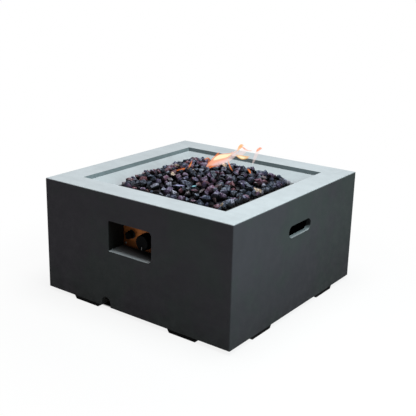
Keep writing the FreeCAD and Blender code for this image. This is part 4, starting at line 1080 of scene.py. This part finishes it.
def flame(name, depth, gas, route):
    """One tongue of flame in an upright plane that faces the photo's view."""
    mesh = bmesh.new()
    rings = []
    for index, (across, height, half) in enumerate(route):
        before = route[max(index - 1, 0)]
        after = route[min(index + 1, len(route) - 1)]
        way = Vector((after[0] - before[0], 0, after[1] - before[1]))
        made = bmesh.ops.create_circle(mesh, cap_ends=True, segments=12, radius=half * MM)["verts"]
        bmesh.ops.scale(mesh, vec=(1.0, 0.6, 1.0), verts=made)
        bmesh.ops.rotate(mesh, cent=(0, 0, 0), matrix=way.to_track_quat("Z", "Y").to_matrix(), verts=made)
        bmesh.ops.translate(mesh, vec=Vector((across, depth, height)) * MM, verts=made)
        rings.append(made)
    inner = [face for face in mesh.faces if not {*face.verts} & {*rings[0], *rings[-1]}]
    bmesh.ops.delete(mesh, geom=inner, context="FACES_ONLY")
    for first, second in zip(rings, rings[1:]):
        between = {*first, *second}
        inside = [edge for edge in mesh.edges if {*edge.verts} <= between]
        loops = [edge for edge in inside if len({*edge.verts} & {*first}) != 1]
        bmesh.ops.bridge_loops(mesh, edges=loops)
    bmesh.ops.transform(mesh, matrix=flame_plane_turn, verts=mesh.verts)
    piece = mesh_object(name, mesh, gas)
    piece.data.shade_smooth()
    rounding = piece.modifiers.new("rounding", "SUBSURF")
    rounding.levels = rounding.render_levels = 2
    piece.visible_shadow = False


class FIREPIT_OT_stage(bpy.types.Operator):
    """Set the floor, the lights, the camera and the flames"""

    bl_idname = "fire_pit.stage"
    bl_label = "Studio"

    def execute(self, context):
        look = context.scene.fire_pit_stage
        self.make_floor()
        self.make_room(look)
        self.make_lights(look)
        self.make_camera(context)
        self.make_flames(look)
        context.scene.view_settings.view_transform = "Standard"
        return {"FINISHED"}

    def make_floor(self):
        mesh = bmesh.new()
        bmesh.ops.create_grid(mesh, x_segments=2, y_segments=2, size=50.0)
        mesh_object("studio_floor", mesh, studio_material("studio_white"))

    def make_room(self, look):
        world = bpy.data.worlds.new("studio_room")
        world.use_nodes = True
        wires = Wiring(world.node_tree)
        world.node_tree.nodes.clear()
        end = wires.add("OutputWorld")
        rays = wires.add("LightPath")
        seen = wires.calc("MAXIMUM", rays.outputs["Is Camera Ray"], rays.outputs["Is Transmission Ray"])
        room = wires.add("Background", {"Color": (1.0, 0.96, 0.98, 1.0), "Strength": look.room_level})
        white = wires.add("Background", {"Color": (1.0, 1.0, 1.0, 1.0), "Strength": 1.0})
        both = wires.add("MixShader", {"Fac": seen})
        wires.put(room.outputs[0], both.inputs[1])
        wires.put(white.outputs[0], both.inputs[2])
        wires.put(both.outputs[0], end.inputs["Surface"])
        bpy.context.scene.world = world

    def make_lights(self, look):
        aim = (0, 0, 0.3)
        area_light("key_light", (0.25, -0.1, 2.9), aim, 1.7, look.key_power, (0.98, 1.0, 1.0))
        area_light("side_light", (1.3, -0.35, 0.8), aim, 0.6, look.side_power, (0.76, 1.0, 1.0))

    def make_camera(self, context):
        az, el, roll = camera_azimuth, camera_elevation, camera_roll
        back = Vector((math.sin(az) * math.cos(el), -math.cos(az) * math.cos(el), math.sin(el)))
        right = Vector((math.cos(az), math.sin(az), 0))
        up = back.cross(right)
        right_rolled = right * math.cos(roll) + up * math.sin(roll)
        up_rolled = up * math.cos(roll) - right * math.sin(roll)
        data = bpy.data.cameras.new("photo_camera")
        data.sensor_width = 36.0
        data.lens = camera_lens
        data.shift_x, data.shift_y = camera_shift
        data.clip_start = 0.05
        data.clip_end = 60.0
        camera = linked_object("photo_camera", data)
        turn = Matrix((right_rolled, up_rolled, back)).transposed().to_4x4()
        place = camera_aim + back * camera_distance + right_rolled * camera_slide + up_rolled * camera_lift
        camera.matrix_world = Matrix.Translation(place) @ turn
        context.scene.camera = camera

    def make_flames(self, look):
        """Tongues of flame behind the middle of the bed, with small licks nearer to the front."""
        gas = {}
        for name, (colour, share) in gases.items():
            gas[name] = flame_material(name + "_gas", colour, look.flame_thickness * share)
        for name, depth, kind, route in flames:
            flame("flame_" + name, depth, gas[kind], route)


class FIREPIT_PT_panel(bpy.types.Panel):
    """Lists the steps that dress the fire pit"""

    bl_idname = "FIREPIT_PT_panel"
    bl_label = "Fire Pit"
    bl_space_type = "VIEW_3D"
    bl_region_type = "UI"
    bl_category = "Fire Pit"

    def draw(self, context):
        layout = self.layout
        for step in steps:
            layout.operator(step.bl_idname)
        for look in looks:
            settings = getattr(context.scene, look)
            for key in settings.__annotations__:
                layout.prop(settings, key)


steps = (
    FIREPIT_OT_concrete,
    FIREPIT_OT_steelwork,
    FIREPIT_OT_fasteners,
    FIREPIT_OT_gas_line,
    FIREPIT_OT_ignition,
    FIREPIT_OT_lava_rocks,
    FIREPIT_OT_knob,
    FIREPIT_OT_igniter,
    FIREPIT_OT_springs,
    FIREPIT_OT_inlet_thread,
    FIREPIT_OT_stage,
)

looks = {
    "fire_pit_concrete": ConcreteLook,
    "fire_pit_lava": LavaLook,
    "fire_pit_knob": KnobLook,
    "fire_pit_stage": StageLook,
}


def register():
    for settings in looks.values():
        bpy.utils.register_class(settings)
    for key, settings in looks.items():
        setattr(bpy.types.Scene, key, PointerProperty(type=settings))
    for step in steps:
        bpy.utils.register_class(step)
    bpy.utils.register_class(FIREPIT_PT_panel)


def unregister():
    bpy.utils.unregister_class(FIREPIT_PT_panel)
    for step in reversed(steps):
        bpy.utils.unregister_class(step)
    for key in looks:
        delattr(bpy.types.Scene, key)
    for settings in reversed(list(looks.values())):
        bpy.utils.unregister_class(settings)


def main():
    register()
    build_groups()
    build_finishes(bpy.context.scene)
    for step in steps:
        group_name, step_name = step.bl_idname.split(".")
        getattr(getattr(bpy.ops, group_name), step_name)()
    bpy.context.view_layer.update()


if __name__ == "__main__":
    main()
